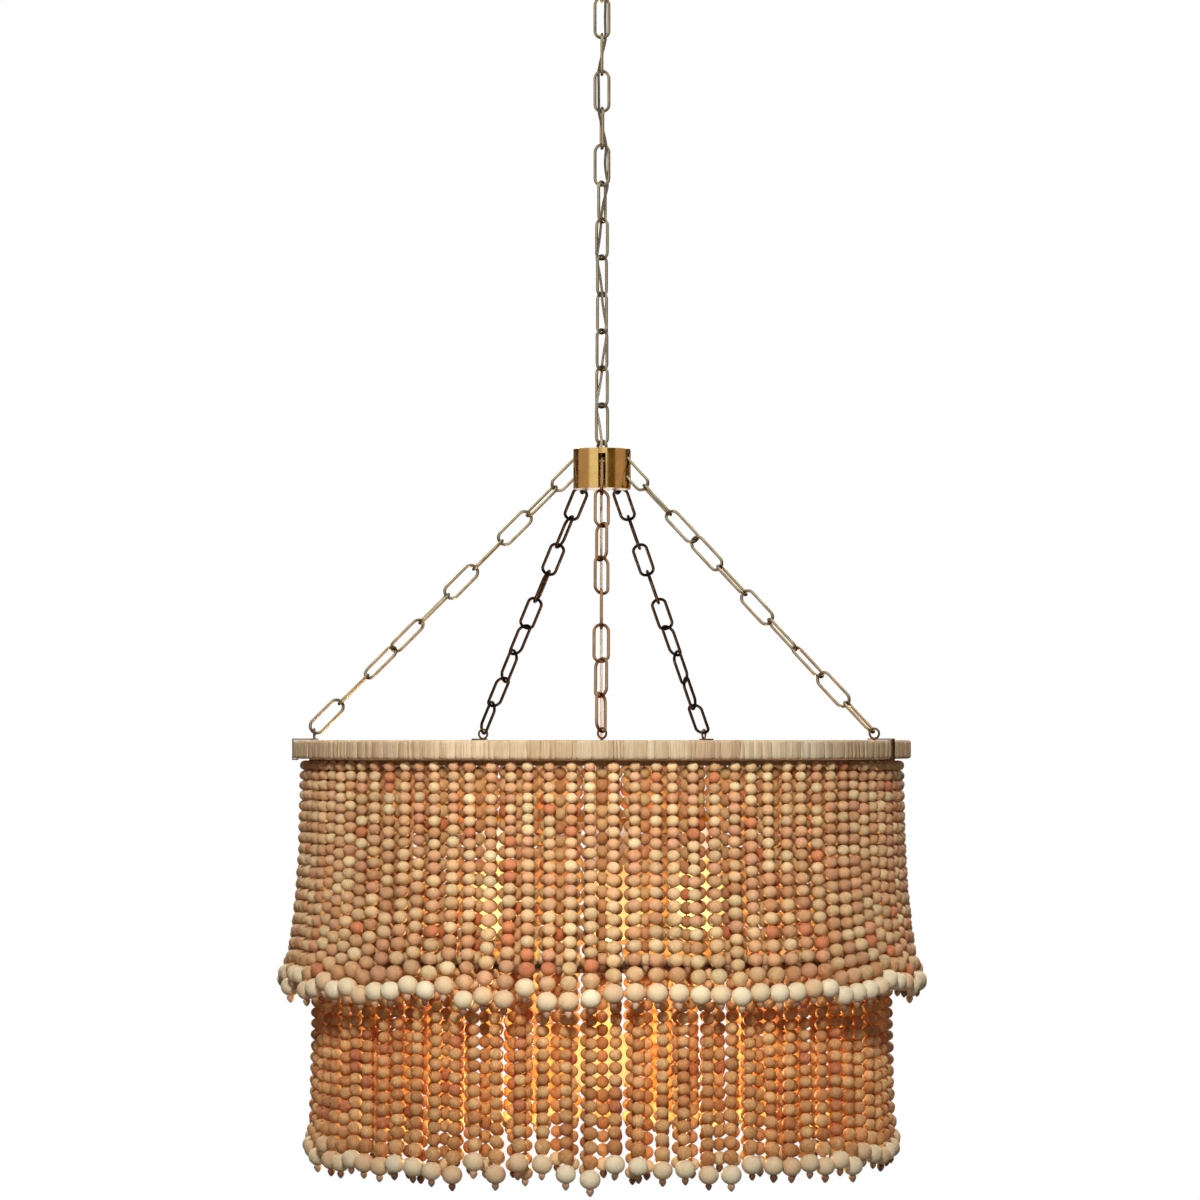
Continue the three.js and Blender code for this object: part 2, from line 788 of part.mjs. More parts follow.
function makeLowerRing() {
  const outer = lowerTier.tapeRadius;
  return squareRing(outer, outer - lowerRingWidth, lowerRingPlace, lowerRingPlace - lowerRingHeight);
}

// Lamp frame, sockets and bulbs

const armTop = hoopTop - armDrop;
const armBottom = armTop - armSide;
const stemFoot = hoopTop - stemFootDrop;

function makeLampFrame() {
  const flangeBottom = bossTop + seatGap;
  const flangeTop = flangeBottom + flangeHeight;
  const body = turned([
    [0, flangeTop],
    [flangeRadius, flangeTop],
    [flangeRadius, flangeBottom],
    [stemRadius, flangeBottom],
    [stemRadius, stemFoot + stemFootHeight],
    [armPadRadius, stemFoot + stemFootHeight],
    [armPadRadius, stemFoot],
    [0, stemFoot],
  ], turnedSides);
  const pieces = [body];
  for (const azimuth of armAzimuths) {
    const arm = block([0, -armSide / 2, armBottom], [armLength, armSide / 2, armTop]);
    const pad = bar(armPadRadius, armTop, armBottom, turnedSides).translate(armLength, 0, 0);
    pieces.push(arm.rotateZ(azimuthTurn(azimuth)));
    pieces.push(pad.rotateZ(azimuthTurn(azimuth)));
  }
  const place = besideAxis(cordHoleOffset, cordAngle, 0);
  const socket = bar(cordHoleRadius, flangeTop + cutOverrun, flangeTop - cordSocketDepth, smallSides)
    .translate(place.x, place.y, 0);
  return cut(joined(pieces.map(solidOf)), [solidOf(socket)]);
}

// The places of the four lamps: across, azimuth and the height of what holds them
const lamps = [
  ...armAzimuths.map((azimuth) => ({ out: armLength, azimuth, height: armBottom })),
  { out: 0, azimuth: 0, height: stemFoot },
];

function makeSocket(lamp) {
  const top = lamp.height - seatGap;
  const bottom = top - socketHeight;
  const floor = top - socketFloor;
  return turned([
    [0, top],
    [socketRadius, top],
    [socketRadius, bottom],
    [socketBoreRadius, bottom],
    [socketBoreRadius, floor],
    [0, floor],
  ], lampSides).translate(lamp.out, 0, 0).rotateZ(azimuthTurn(lamp.azimuth));
}

function makeBulb(lamp) {
  const socketTop = lamp.height - seatGap;
  const top = socketTop - socketFloor - seatGap;
  const neck = socketTop - socketHeight - seatGap;
  const centre = socketTop - bulbDrop;
  const globe = [50, 15, -20, -55].map((degrees) => {
    const angle = THREE.MathUtils.degToRad(degrees);
    return [bulbRadius * Math.cos(angle), centre + bulbRadius * Math.sin(angle)];
  });
  return turned([
    [0, top],
    [bulbCapRadius, top],
    [bulbCapRadius, neck],
    [bulbCapRadius * bulbNeckShare, neck - bulbNeckDrop],
    ...globe,
    [0, centre - bulbRadius],
  ], lampSides).translate(lamp.out, 0, 0).rotateZ(azimuthTurn(lamp.azimuth));
}

// Bead strands

// A strand with flat sides through [radius of the ring, height, half width] stations, to a tip
function makeStrand(stations, tip) {
  const places = [];
  for (const [ring, height, radius] of stations) {
    const corner = radius / Math.cos(Math.PI / strandSides);
    for (let side = 0; side < strandSides; side += 1) {
      const angle = (2 * Math.PI * (side + 0.5)) / strandSides;
      places.push(ring + corner * Math.cos(angle), corner * Math.sin(angle), height);
    }
  }
  const first = places.length / 3;
  places.push(stations[0][0], 0, stations[0][1]);
  places.push(tip[0], 0, tip[1]);
  const corners = [];
  const lastRow = (stations.length - 1) * strandSides;
  for (let side = 0; side < strandSides; side += 1) {
    const next = (side + 1) % strandSides;
    corners.push(first, side, next);
    corners.push(first + 1, lastRow + next, lastRow + side);
    for (let row = 0; row < lastRow; row += strandSides) {
      corners.push(row + side, row + strandSides + side, row + strandSides + next);
      corners.push(row + side, row + strandSides + next, row + next);
    }
  }
  const strand = new THREE.BufferGeometry();
  strand.setAttribute("position", new THREE.Float32BufferAttribute(places, 3));
  strand.setIndex(corners);
  return strand;
}

// One length of tape with its strands, along +X
function makeFringe(tier) {
  const top = hoopTop - tier.top - seatGap;
  const inner = tier.tapeRadius - tier.tapeWidth;
  const half = Math.PI / sectorCount - seatGap / 2 / inner;
  const outline = new THREE.Shape();
  outline.absarc(0, 0, tier.tapeRadius, -half, half, false);
  outline.absarc(0, 0, inner, half, -half, true);
  const tape = new THREE.ExtrudeGeometry(outline, {
    depth: tapeHeight,
    bevelEnabled: false,
    curveSegments: tapeSteps,
  }).translate(0, 0, top - tapeHeight);
  const ring = tier.tapeRadius + tier.proud;
  const strand = makeStrand([
    [ring, top - tapeHeight + weldDepth, tier.topRadius],
    [ring + tier.neckFlare, hoopTop - tier.neckDrop, tier.neckRadius],
    [ring + tier.ballFlare, hoopTop - tier.ballDrop, ballRadius],
  ], [ring + tier.ballFlare, hoopTop - tier.tipDrop]);
  const step = (2 * Math.PI) / sectorCount / tier.count;
  const strands = Array.from({ length: tier.count }, (unused, index) => (
    strand.clone().rotateZ((index - (tier.count - 1) / 2) * step)
  ));
  return joined([tape, ...strands].map(solidOf));
}

// The whole lamp

const brassLook = { roughness: 0.35, metalness: 0.9 };
const woodLook = { roughness: 0.75, metalness: 0 };
const chainColours = {
  left: colours.paleGold,
  right: colours.paleGold,
  back_left: colours.bronze,
  back_right: colours.bronze,
  front: colours.antiqueGold,
};

addPiece("ceiling_strap", makeStrap(), colours.steel);
addPiece("ceiling_canopy", makeCanopy(), colours.brass, brassLook);
addPiece("canopy_ring_nut", makeRingNut(), colours.brass, brassLook);
addPiece("canopy_loop", makeLoop(), colours.brass, brassLook);
linkTurnsDeg.forEach((turn, index) => {
  addPiece(`main_link_${String(index + 1).padStart(2, "0")}`, makeMainLink(index), colours.paleGold);
});
addPiece("hub_loop", makeArch(), colours.brass, brassLook);
addPiece("hub_top", makeHubTop(), colours.brass, brassLook);
addPiece("hub_shell", makeHubShell(), colours.brass, brassLook);
for (const chain of lowerChains) {
  const hanger = chain.side === "front" ? makeSpokeHanger(chain) : makeRimHanger(chain);
  addPiece(`chain_${chain.side}`, makeLowerChain(chain), chainColours[chain.side]);
  addPiece(`hanger_${chain.side}`, hanger, colours.antiqueGold);
}
addPiece("hoop_wrap", makeHoopWrap(), colours.fibre, woodLook);
addPiece("frame_rim", makeRim(), colours.frame);
addPiece("frame_spokes", makeSpokes(), colours.frame);
addPiece("frame_lower_ring", makeLowerRing(), colours.frame);
addPiece("lamp_frame", makeLampFrame(), colours.brass, brassLook);
lamps.forEach((lamp, index) => {
  addPiece(`socket_${index + 1}`, makeSocket(lamp), colours.socket, { roughness: 0.4, metalness: 0 });
  addPiece(`bulb_${index + 1}`, makeBulb(lamp), colours.bulb, { roughness: 0.2, metalness: 0 });
});
addPiece("supply_cord", makeCord(supplyRoute()), colours.cord, woodLook);
addPiece("lamp_cord", makeLampCord(), colours.cord, woodLook);

const sectorNames = [
  "front", "front_right", "right", "back_right",
  "back", "back_left", "left", "front_left",
];
const tiers = [
  { label: "upper", fringe: makeFringe(upperTier), colour: colours.bead },
  { label: "lower", fringe: makeFringe(lowerTier), colour: colours.warmBead },
];
for (const { label, fringe, colour } of tiers) {
  sectorNames.forEach((name, index) => {
    const mesh = addPiece(`${label}_fringe_${name}`, fringe, colour, woodLook);
    mesh.rotation.z = azimuthTurn((index * 360) / sectorCount);
  });
}

export default chandelier;
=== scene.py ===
# Looks of the beaded chandelier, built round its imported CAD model.
# Sizes are in millimetres until a mesh is made. The ceiling is height 0, the lamp's axis is Z and its
# front faces -Y. An azimuth is counted in degrees from the front, towards the right (+X).

import math
import random

import bpy
import bmesh
import numpy as np
from mathutils import Matrix, Vector


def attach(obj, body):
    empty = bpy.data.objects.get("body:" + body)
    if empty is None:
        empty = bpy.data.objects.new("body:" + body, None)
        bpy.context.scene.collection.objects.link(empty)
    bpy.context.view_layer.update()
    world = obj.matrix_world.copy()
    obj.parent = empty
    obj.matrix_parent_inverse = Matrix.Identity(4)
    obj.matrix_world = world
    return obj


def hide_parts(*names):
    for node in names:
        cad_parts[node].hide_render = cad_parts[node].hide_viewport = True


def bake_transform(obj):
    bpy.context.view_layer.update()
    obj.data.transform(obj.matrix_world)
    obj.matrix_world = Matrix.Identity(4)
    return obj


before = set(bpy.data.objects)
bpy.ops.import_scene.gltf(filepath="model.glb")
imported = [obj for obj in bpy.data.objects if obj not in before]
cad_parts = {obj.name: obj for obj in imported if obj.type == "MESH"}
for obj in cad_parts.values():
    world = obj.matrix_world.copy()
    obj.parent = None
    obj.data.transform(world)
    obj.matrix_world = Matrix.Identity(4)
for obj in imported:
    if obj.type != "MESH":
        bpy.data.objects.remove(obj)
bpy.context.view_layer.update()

# Units, clearances, edges and sides
METRES = 0.001  # in a millimetre
SEAT_GAP = 0.3  # between pieces that rest on each other
MERGE_DISTANCE = 1e-7  # of doubled points, in metres
EDGE_RADIUS = 0.8  # of most turned pieces
BAR_EDGE = 0.4
CORNER_STEPS = 3
CORNER_SHARE = 0.45  # of a side, which is the most that a rounded corner takes
BEVEL_ANGLE = 40  # edges sharper than this many degrees are bevelled
BEVEL_SEGMENTS = 2
FLAT_SHARP = 35  # edges sharper than this are shaded sharp, on pieces with flat faces
ROUND_SHARP = 50  # and on turned ones
WIRE_SIDES = 12
HEX_SIDES = 6
PLAIN_TINT = (0.5, 0.5, 0.5)

# Camera, which looks level with the hoop and a little upwards
CAMERA_DISTANCE = 4200
CAMERA_ACROSS = -2
SENSOR_WIDTH = 36
LENS = 126
HORIZON_SHARE = 140 / 1200  # of the picture, from its middle down to the horizon

# Ceiling end
STRAP = (110, 22, 3)  # length, width and thickness
STRAP_EDGE = 0.4
NIPPLE_RADIUS = 5
NIPPLE_SIDES = 32
NIPPLE_THREAD_PITCH = 1.5
NIPPLE_THREAD_DEPTH = 0.5
NIPPLE_THREAD_FLAT = 0.1
LOCKNUT_RADIUS = 9
LOCKNUT_HEIGHT = 3
CANOPY_RADIUS = 65
CANOPY_DEPTH = 28
CANOPY_WALL = 1.5
CANOPY_HOLE = 12.9
CANOPY_SIDES = 96
CANOPY_ARC_STEPS = 16
CANOPY_SWELL_SHARE = 0.01  # of its radius, by which its side leans in
CANOPY_FLAT_RADIUS = 34  # the arc of its side ends before this radius
CANOPY_FLAT_SHARE = 0.34  # and keeps the square root of this share of the full radius
COLLAR_RADIUS = 12.3
COLLAR_RISE = 2
COLLAR_BOTTOM = -36
COLLAR_FLOOR = 3
RING_NUT_WALL = 4.4
RING_NUT_KNURLS = 60
RING_NUT_KNURL_DEPTH = 0.35
RING_NUT_CHAMFER = 0.8
RING_NUT_CHAMFER_HEIGHT = 1.2
LOOP_NECK_RADIUS = 6
LOOP_CENTRE = -54
LOOP_RADIUS = 10
LOOP_WIRE = 3.6
LOOP_TURN = -90
LOOP_SIDES = 48
LOOP_WIRE_SIDES = 16

# Main chain and its cord
LINK_WIRE = 3.2
LINK_WIDTH = 17.2
LINK_INNER = 37.5
LINK_TURNS = [0, 90, 180, 277, 352, 422, 500, 590, 670, 765, 859, 937]  # degrees about Z
LINK_BODIES = [f"link_{number:02d}" for number in range(1, len(LINK_TURNS) + 1)]
LINK_PITCH = LINK_INNER - SEAT_GAP
LINK_ARC_STEPS = 12
LINK_SIDE_STEPS = 4
FIRST_LINK_TOP = LOOP_CENTRE - LOOP_RADIUS + LOOP_WIRE / 2 + SEAT_GAP
ARCH_TURN = 1030
CORD_RADIUS = 1.4
CORD_MID_OFFSET = 3.2
CORD_HOLE_OFFSET = 7
CORD_START = -22
CORD_SIDES = 10
CORD_STEP = 3  # between its points
DROP_CORD_STEPS = 60
DROP_CORD_SINK = 2.5  # into the flange of the lamp frame's stem

# Hub
ARCH_INSIDE = FIRST_LINK_TOP - len(LINK_TURNS) * LINK_PITCH
ARCH_RADIUS = 6.5
HUB_TOP = ARCH_INSIDE - 7
HUB_HEIGHT = 40
HUB_BOTTOM = HUB_TOP - HUB_HEIGHT
HUB_RADIUS = 29
HUB_WALL = 1.5
HUB_PLATE = 4
HUB_PLATE_EDGE = 0.6
HUB_FLOOR = 2.5
HUB_EDGE = 0.4
HUB_SIDES = 96
HUB_FACET = 4  # degrees
HUB_CORE_RADIUS = 0.01  # where the cup's grid starts, for one at 0 would fold up
HUB_NOTCH_RADIUS = 22
HUB_SLOT_WIDTH = 7
HUB_SLOT_HEIGHT = 34.5
HUB_POST_RADIUS = 2.5
HUB_POST_SIDES = 24
HUB_RING_RADIUS = 21.5
HUB_RING_WIRE = 3
HUB_RING_STEPS = 72
HUB_RING_HEIGHT = HUB_TOP - 13
HUB_LUG_RADIUS = 1.6
HUB_LUG_SIDES = 16
HUB_LUG_SINK = 0.5
LUG_AZIMUTHS = [33, 112, 182, -122, -45]
GROMMET_GAP = 0.9
GROMMET_WIRE = 1
GROMMET_RISE = 0.4
GROMMET_STEPS = 24
GROMMET_SIDES = 8
ARCH_SIDES = 14
ARCH_STEPS = 16
ARCH_LEG_STEPS = 6
ARCH_SHARP = 40
ARCH_NUT_RADIUS = 3.5
ARCH_NUT_HEIGHT = 3
ARCH_TAIL = 1

# Hoop band of wound strips
HOOP_TOP = HUB_BOTTOM - 251
HOOP_RADIUS = 308
HOOP_HEIGHT = 18.5
HOOP_WIDTH = 16
HOOP_CORNER = 3
HOOP_CORNER_STEPS = 4
HOOP_SIDES = 180
HOOP_SPACING = 3.5  # between points along the section's straight sides
PADDING_GAP = 0.25
STRIP_THICKNESS = 0.9
STRIP_DOME = 0.25
STRIP_SEAM = 0.16
STRIP_SHARP = 60

# Steel frame inside
SPOKE_AZIMUTHS = [0, 72, 144, -144, -72]
SPOKE_SIDE = 7
SPOKE_TOP = HOOP_TOP - (HOOP_HEIGHT - SPOKE_SIDE) / 2
SPOKE_REACH = 293.8
BOSS_RADIUS = 16
BOSS_HEIGHT = 9
BOSS_TOP = SPOKE_TOP + (BOSS_HEIGHT - SPOKE_SIDE) / 2
BOSS_SIDES = 64
ROD_RADIUS = 3
ROD_SIDES = 20
ROD_RING = 275
LOWER_RING_TOP = HOOP_TOP - 206
LOWER_RING_HEIGHT = 6
LOWER_RING_RADIUS = 280
LOWER_RING_WIDTH = 10
LOWER_RING_SIDES = 180
FRAME_EDGE = 0.7

# Lower chains: azimuth, turn of the end eye and the quarter turns of each link
LOWER_CHAINS = {
    "left": (-90, 90, [0, 0.75, 0, 1, 0, 0.9, 1.5, 0.5, 1, 0]),
    "right": (66, 0, [0, 0.75, 1.5, 2.1, 1, 0, 0.65, 1.15, 0, 1]),
    "back_left": (-154, 90, [0.1, 1.3, 0.6, 1.38, 0.5, 1.4, 0.9, 1.9, 1, 0]),
    "back_right": (158, 0, [0.1, 0.8, 1.67, 0.67, 1.67, 0.67, 1.2, 2.1, 0, 1]),
    "front": (0, 54, [0, 0.75, 1.5, 0.7, 0, 1, 1.45, 0.4]),
}
LINK_PRESS = 0.3
HANG_ROUNDS = 8  # in which a lower chain's direction settles
EYE_RADIUS = 4.9
EYE_WIRE = 2.2
EYE_INSET = 20.5
EYE_STEPS = 32
CLIP_WIDTH = 7
CLIP_THICKNESS = 1.2
CLIP_TONGUE = 4
CLIP_LIP = 5
CLIP_LIP_GAP = 1.6
CLIP_HOOK = 6
CLAMP_WALL = 2
CLAMP_WIDTH = 8
CLAMP_STEM_RADIUS = 1.5
CLAMP_STEM_LENGTH = 4
CLAMP_STEM_SIDES = 16
HANGER_EDGE = 0.25

# Lamp frame, sockets and bulbs
FLANGE_RADIUS = 13
FLANGE_HEIGHT = 3.7
STEM_RADIUS = 6
STEM_SIDES = 48
ARM_AZIMUTHS = [5, 125, -115]
ARM_LENGTH = 120
ARM_SIDE = 8
ARM_TOP = HOOP_TOP - 75
ARM_PAD_RADIUS = 15
ARM_PAD_RISE = 0.2
ARM_PAD_EDGE = 1.2
ARM_PAD_SIDES = 40
ARM_EDGE = 0.6
STEM_FOOT = HOOP_TOP - 240
STEM_FOOT_HEIGHT = 4
SOCKET_RADIUS = 17
SOCKET_BORE = 13.4
SOCKET_HEIGHT = 38
SOCKET_FLOOR = 4
SOCKET_SHOULDER = (2, 8)  # inwards and down
SOCKET_EDGE = 0.9
SOCKET_SIDES = 48
SOCKET_SHARP = 40
BULB_CAP_RADIUS = 13
BULB_CAP_TIP = 5  # less than the cap's radius
BULB_CAP_SIDES = 40
BULB_RADIUS = 30
BULB_SIDES = 48
BULB_DROP = 82
BULB_THREAD_START = 2
BULB_THREAD_PITCH = 3.6
BULB_THREAD_DEPTH = 1.1
BULB_CAP_FOOT = 1  # the cap's last step inwards, and its height above the neck
BULB_NECK = [(-0.8, 1), (0, -3), (3.6, -8), (8.5, -16)]  # out from the cap's radius and up from the neck
BULB_ARC = range(32, -88, -10)  # degrees above its equator
BULB_SHADE_START = 12  # above its centre, where the glass starts to redden
BULB_SHADE_LENGTH = 30

# Bead strands. Heights are counted from the top of the hoop. A tier's tape is its outer and inner
# radius, top and bottom. Its rows hold strands in each eighth: how far they stray at the top and the
# end, their line as (height, radius), the widths of the first, the last but one and the last bead,
# and a bead's height over its width. The ball's height varies by the spread, up and down.
SECTORS = ["front", "front_right", "right", "back_right", "back", "back_left", "left", "front_left"]
BEAD_SIDES = 12
BEAD_ROWS = 7
BALL_SIDES = 18
BALL_ROWS = 10
BALL_FLATNESS = 0.93
KNOT_LENGTH = 1.15
THREAD_RADIUS = 0.7
THREAD_SIDES = 5
THREAD_TUCK = 1  # up into its tape
THREAD_STEPS = 8
TAPE_STEPS = 24
OUTER_SHADE = np.array([1.0, 1.0, 1.0])
UPPER_INNER_PAINTED_SHADE = np.array([0.6, 0.49, 0.37])  # painted shade: the inner strands are darkened and reddened as if in shadow and lit by the warm bulbs
# painted shade on the lower inner strands too, lighter than the upper's, as if lit by the lower bulb
LOWER_INNER_PAINTED_SHADE = np.array([0.85, 0.75, 0.62])
# A row's shade multiplies its beads' and ball's tones: painted shade on the inner rows, none on the outer.
TIERS = {
    "upper": {
        "seed": 7,
        "tape": (292, 286, -18.8, -24),
        "rows": [
            {
                "count": 12, "jitter": (2.4, 0.35), "shade": OUTER_SHADE,
                "line": [(-20.3, 295.8), (-110, 297), (-160, 299.8), (-190, 303), (-215, 306.8),
                         (-235, 313.5)],
                "beads": (11.2, 15, 17), "flatness": 0.86, "ball": 19.8, "ball_height": -235, "spread": 7,
            },
            {
                "count": 17, "jitter": (0.1, 0.15), "shade": UPPER_INNER_PAINTED_SHADE,
                "line": [(-24.6, 285), (-110, 285.2), (-160, 287), (-212, 291.5)],
                "beads": (13, 13.2, 12), "flatness": 0.95, "ball": 13.2, "ball_height": -205, "spread": 1.5,
            },
        ],
    },
    "lower": {
        "seed": 8,
        "tape": (278.2, 271, -212.3, -217.4),
        "rows": [
            {
                "count": 10, "jitter": (4.4, 1.0), "shade": OUTER_SHADE,
                "line": [(-213.4, 283.5), (-300, 284), (-360, 284.6), (-388, 286), (-402, 288.5)],
                "beads": (11.2, 14, 15.6), "flatness": 0.9, "ball": 19.6, "ball_height": -400, "spread": 8,
            },
            {
                "count": 15, "jitter": (1.2, 1.6), "shade": LOWER_INNER_PAINTED_SHADE,
                "line": [(-217.7, 270.5), (-300, 270.5), (-388, 271.5), (-405, 272.5)],
                "beads": (12.2, 13, 13.4), "flatness": 0.95, "ball": 14.5, "ball_height": -396, "spread": 10,
            },
        ],
    },
}

# Lights
KEY_POWER = 270  # of each of its two spots, one for each tier
KEY_TINT = (1.0, 0.98, 0.94)
KEY_PLACE = (-100, -2400, 420)
KEY_AIMS = [(0, 0, HOOP_TOP - 100), (0, 0, HOOP_TOP - 335)]
KEY_RADIUS = 300
KEY_REACH = 450  # of a spot's cone, round the point that it aims at
FILL_POWER = 8
FILL_PLACE = (300, -3000, -1500)
BACK_POWER = 45
BACK_TINT = (1.0, 0.84, 0.66)
BACK_PLACES = [(-1800, 2150, 600), (1800, 2150, 600)]
PANEL_SIZE = 1500
PANEL_TINT = (1.0, 0.96, 0.9)
FLOOR_SIZE = 6000
FLOOR_HEIGHT = -2450
FLOOR_POWER = 60
FLOOR_LIGHT_SIZE = 5000
FLOOR_LIGHT_HEIGHT = -1400
WORLD_LEVEL = 0.04
WORLD_TINT = (1.0, 0.8, 0.6, 1.0)
WHITE = (1, 1, 1, 1)
BLACK = (0, 0, 0, 1)
UPPER_BULB_POWER = 0.2
LOWER_BULB_POWER = 7
BULB_TINT = (1.0, 0.66, 0.24)
BULB_GLOW = 0.9
BULB_GLOW_UNEVENNESS = 0.85


def tone(red, green, blue):
    """A colour as seen on a screen, from 0 to 255, in Blender's linear values."""
    values = [value / 255 for value in (red, green, blue)]
    return np.array([v / 12.92 if v <= 0.04045 else ((v + 0.055) / 1.055) ** 2.4 for v in values])


def colour(red, green, blue):
    """A tone as a material's sockets take it."""
    return (*tone(red, green, blue), 1.0)


# Shapes. Each is a pair of a list of points, in millimetres, and a list of faces.

def turned(profile, sides, loop=False):
    """A profile of (radius, height) points turned about the Z axis, from the top down on its outer side.
    It starts and ends on the axis, or closes on itself as a loop."""
    points, rows = [], []
    for radius, height in profile:
        if radius == 0:
            rows.append([len(points)] * sides)
            points.append((0, 0, height))
            continue
        rows.append(range(len(points), len(points) + sides))
        for step in range(sides):
            angle = 2 * math.pi * step / sides
            points.append((radius * math.cos(angle), radius * math.sin(angle), height))
    below = rows[1:] + rows[:1] if loop else rows[1:]
    faces = []
    for high, low in zip(rows, below):
        for step in range(sides):
            after = (step + 1) % sides
            corners = dict.fromkeys([high[step], low[step], low[after], high[after]])
            if len(corners) > 2:
                faces.append(tuple(corners))
    return points, faces


def rounded(profile, radius, loop=False):
    """A profile with its corners rounded by an arc of a radius."""
    out = []
    count = len(profile)
    for index, corner in enumerate(profile):
        if not loop and index in (0, count - 1):
            out.append(corner)
            continue
        here = Vector(corner)
        before = Vector(profile[index - 1]) - here
        after = Vector(profile[(index + 1) % count]) - here
        reach = min(radius, before.length * CORNER_SHARE, after.length * CORNER_SHARE)
        start = here + before.normalized() * reach
        end = here + after.normalized() * reach
        for step in range(CORNER_STEPS + 1):
            share = step / CORNER_STEPS
            point = start * (1 - share) ** 2 + here * 2 * share * (1 - share) + end * share ** 2
            out.append((max(point.x, 0), point.y))
    return out


def lathe(profile, sides, edge=EDGE_RADIUS, loop=False):
    """A turned solid with rounded corners."""
    return turned(rounded(profile, edge, loop), sides, loop)


def bar(radius, top, bottom, sides, edge=BAR_EDGE):
    """A round bar along Z."""
    return lathe([(0, top), (radius, top), (radius, bottom), (0, bottom)], sides, edge)


def square_ring(outer, inner, top, bottom, sides):
    """A ring of square section."""
    return lathe([(inner, top), (outer, top), (outer, bottom), (inner, bottom)], sides, loop=True)


def quads(rows, sides, closed=False, flipped=False):
    """The faces between rows of points round a shape. Closed ones join the last row to the first."""
    faces = []
    for row in range(rows if closed else rows - 1):
        here, there = row * sides, (row + 1) % rows * sides
        for side in range(sides):
            after = (side + 1) % sides
            corners = (here + side, here + after, there + after, there + side)
            faces.append((corners[0], *corners[:0:-1]) if flipped else corners)
    return faces


def caps(rows, sides, flipped=False):
    """The faces over the first and last row."""
    first, last = range(sides), range((rows - 1) * sides, rows * sides)
    if flipped:
        return [tuple(first), tuple(reversed(last))]
    return [tuple(reversed(first)), tuple(last)]


def tube(points, radius, sides, closed=False):
    """A round wire along points. A closed one joins its ends."""
    path = [Vector(point) for point in points]
    count = len(path)
    tangents = []
    for index in range(count):
        if closed:
            step = path[(index + 1) % count] - path[index - 1]
        else:
            step = path[min(index + 1, count - 1)] - path[max(index - 1, 0)]
        tangents.append(step.normalized())
    side = tangents[0].orthogonal().normalized()
    places = []
    for index, point in enumerate(path):
        side = (side - tangents[index] * side.dot(tangents[index])).normalized()
        other = tangents[index].cross(side)
        for step in range(sides):
            angle = 2 * math.pi * step / sides
            places.append(point + (side * math.cos(angle) + other * math.sin(angle)) * radius)
    faces = quads(count, sides, closed)
    return places, faces if closed else faces + caps(count, sides)


def block(low, high):
    """A box between two corners."""
    points = [(x, y, z) for x in (low[0], high[0]) for y in (low[1], high[1]) for z in (low[2], high[2])]
    faces = [(0, 1, 3, 2), (4, 6, 7, 5), (0, 4, 5, 1), (2, 3, 7, 6), (0, 2, 6, 4), (1, 5, 7, 3)]
    return points, faces


def plate(outline, width):
    """An outline of (radius, height) points, given a width across."""
    count = len(outline)
    points = [(radius, half, height) for half in (-width / 2, width / 2) for radius, height in outline]
    faces = [tuple(range(count)), tuple(reversed(range(count, 2 * count)))]
    for index in range(count):
        after = (index + 1) % count
        faces.append((index, index + count, after + count, after))
    return points, faces


def polar_cells(radii, angles, heights, keep):
    """The blocks of a round grid that keep(ring, sector, layer) says are there, as one closed skin."""
    rings, sectors, layers = len(radii) - 1, len(angles), len(heights) - 1

    def there(ring, sector, layer):
        inside = 0 <= ring < rings and 0 <= layer < layers
        return inside and keep(ring, sector % sectors, layer)

    def corner(ring, sector, layer):
        return (ring * sectors + sector % sectors) * len(heights) + layer

    points = []
    for radius in radii:
        for angle in angles:
            for height in heights:
                points.append((radius * math.cos(angle), radius * math.sin(angle), height))
    faces = []
    for ring in range(rings):
        for sector in range(sectors):
            for layer in range(layers):
                if not there(ring, sector, layer):
                    continue
                for axis in range(3):
                    for side in (0, 1):
                        step = [0, 0, 0]
                        step[axis] = 2 * side - 1
                        if there(ring + step[0], sector + step[1], layer + step[2]):
                            continue
                        one, two = [a for a in range(3) if a != axis]
                        loop = []
                        for first, second in ((0, 0), (1, 0), (1, 1), (0, 1)):
                            place = [ring, sector, layer]
                            place[axis] += side
                            place[one] += first
                            place[two] += second
                            loop.append(corner(*place))
                        faces.append(tuple(loop))
    return points, faces


def moved(shape, matrix):
    """The shape with its points moved by a matrix."""
    points, faces = shape
    return [matrix @ Vector(point) for point in points], faces


def shifted(shape, x=0, y=0, z=0):
    """The shape moved along the axes."""
    return moved(shape, Matrix.Translation((x, y, z)))


def azimuth_turn(azimuth):
    """Turns what was made along +X to an azimuth."""
    return Matrix.Rotation(math.radians(azimuth) - math.pi / 2, 4, "Z")


def upright(degrees):
    """Stands a flat ring up and turns it about the Z axis."""
    return Matrix.Rotation(math.radians(degrees), 4, "Z") @ Matrix.Rotation(math.pi / 2, 4, "X")


def beside_axis(offset, degrees, height):
    """A point at a height, and at an offset from the Z axis in a direction counted from +X."""
    angle = math.radians(degrees)
    return Vector((offset * math.cos(angle), offset * math.sin(angle), height))


def wire_ring(radius, wire, steps, sides=WIRE_SIDES):
    """A closed ring of round wire, lying flat about the Z axis."""
    turns = [2 * math.pi * step / steps for step in range(steps)]
    path = [(radius * math.cos(turn), radius * math.sin(turn), 0) for turn in turns]
    return tube(path, wire / 2, sides, closed=True)


def added(data):
    """An object of a mesh, a light or a camera, in the scene."""
    thing = bpy.data.objects.new(data.name, data)
    bpy.context.scene.collection.objects.link(thing)
    return thing


# Pieces

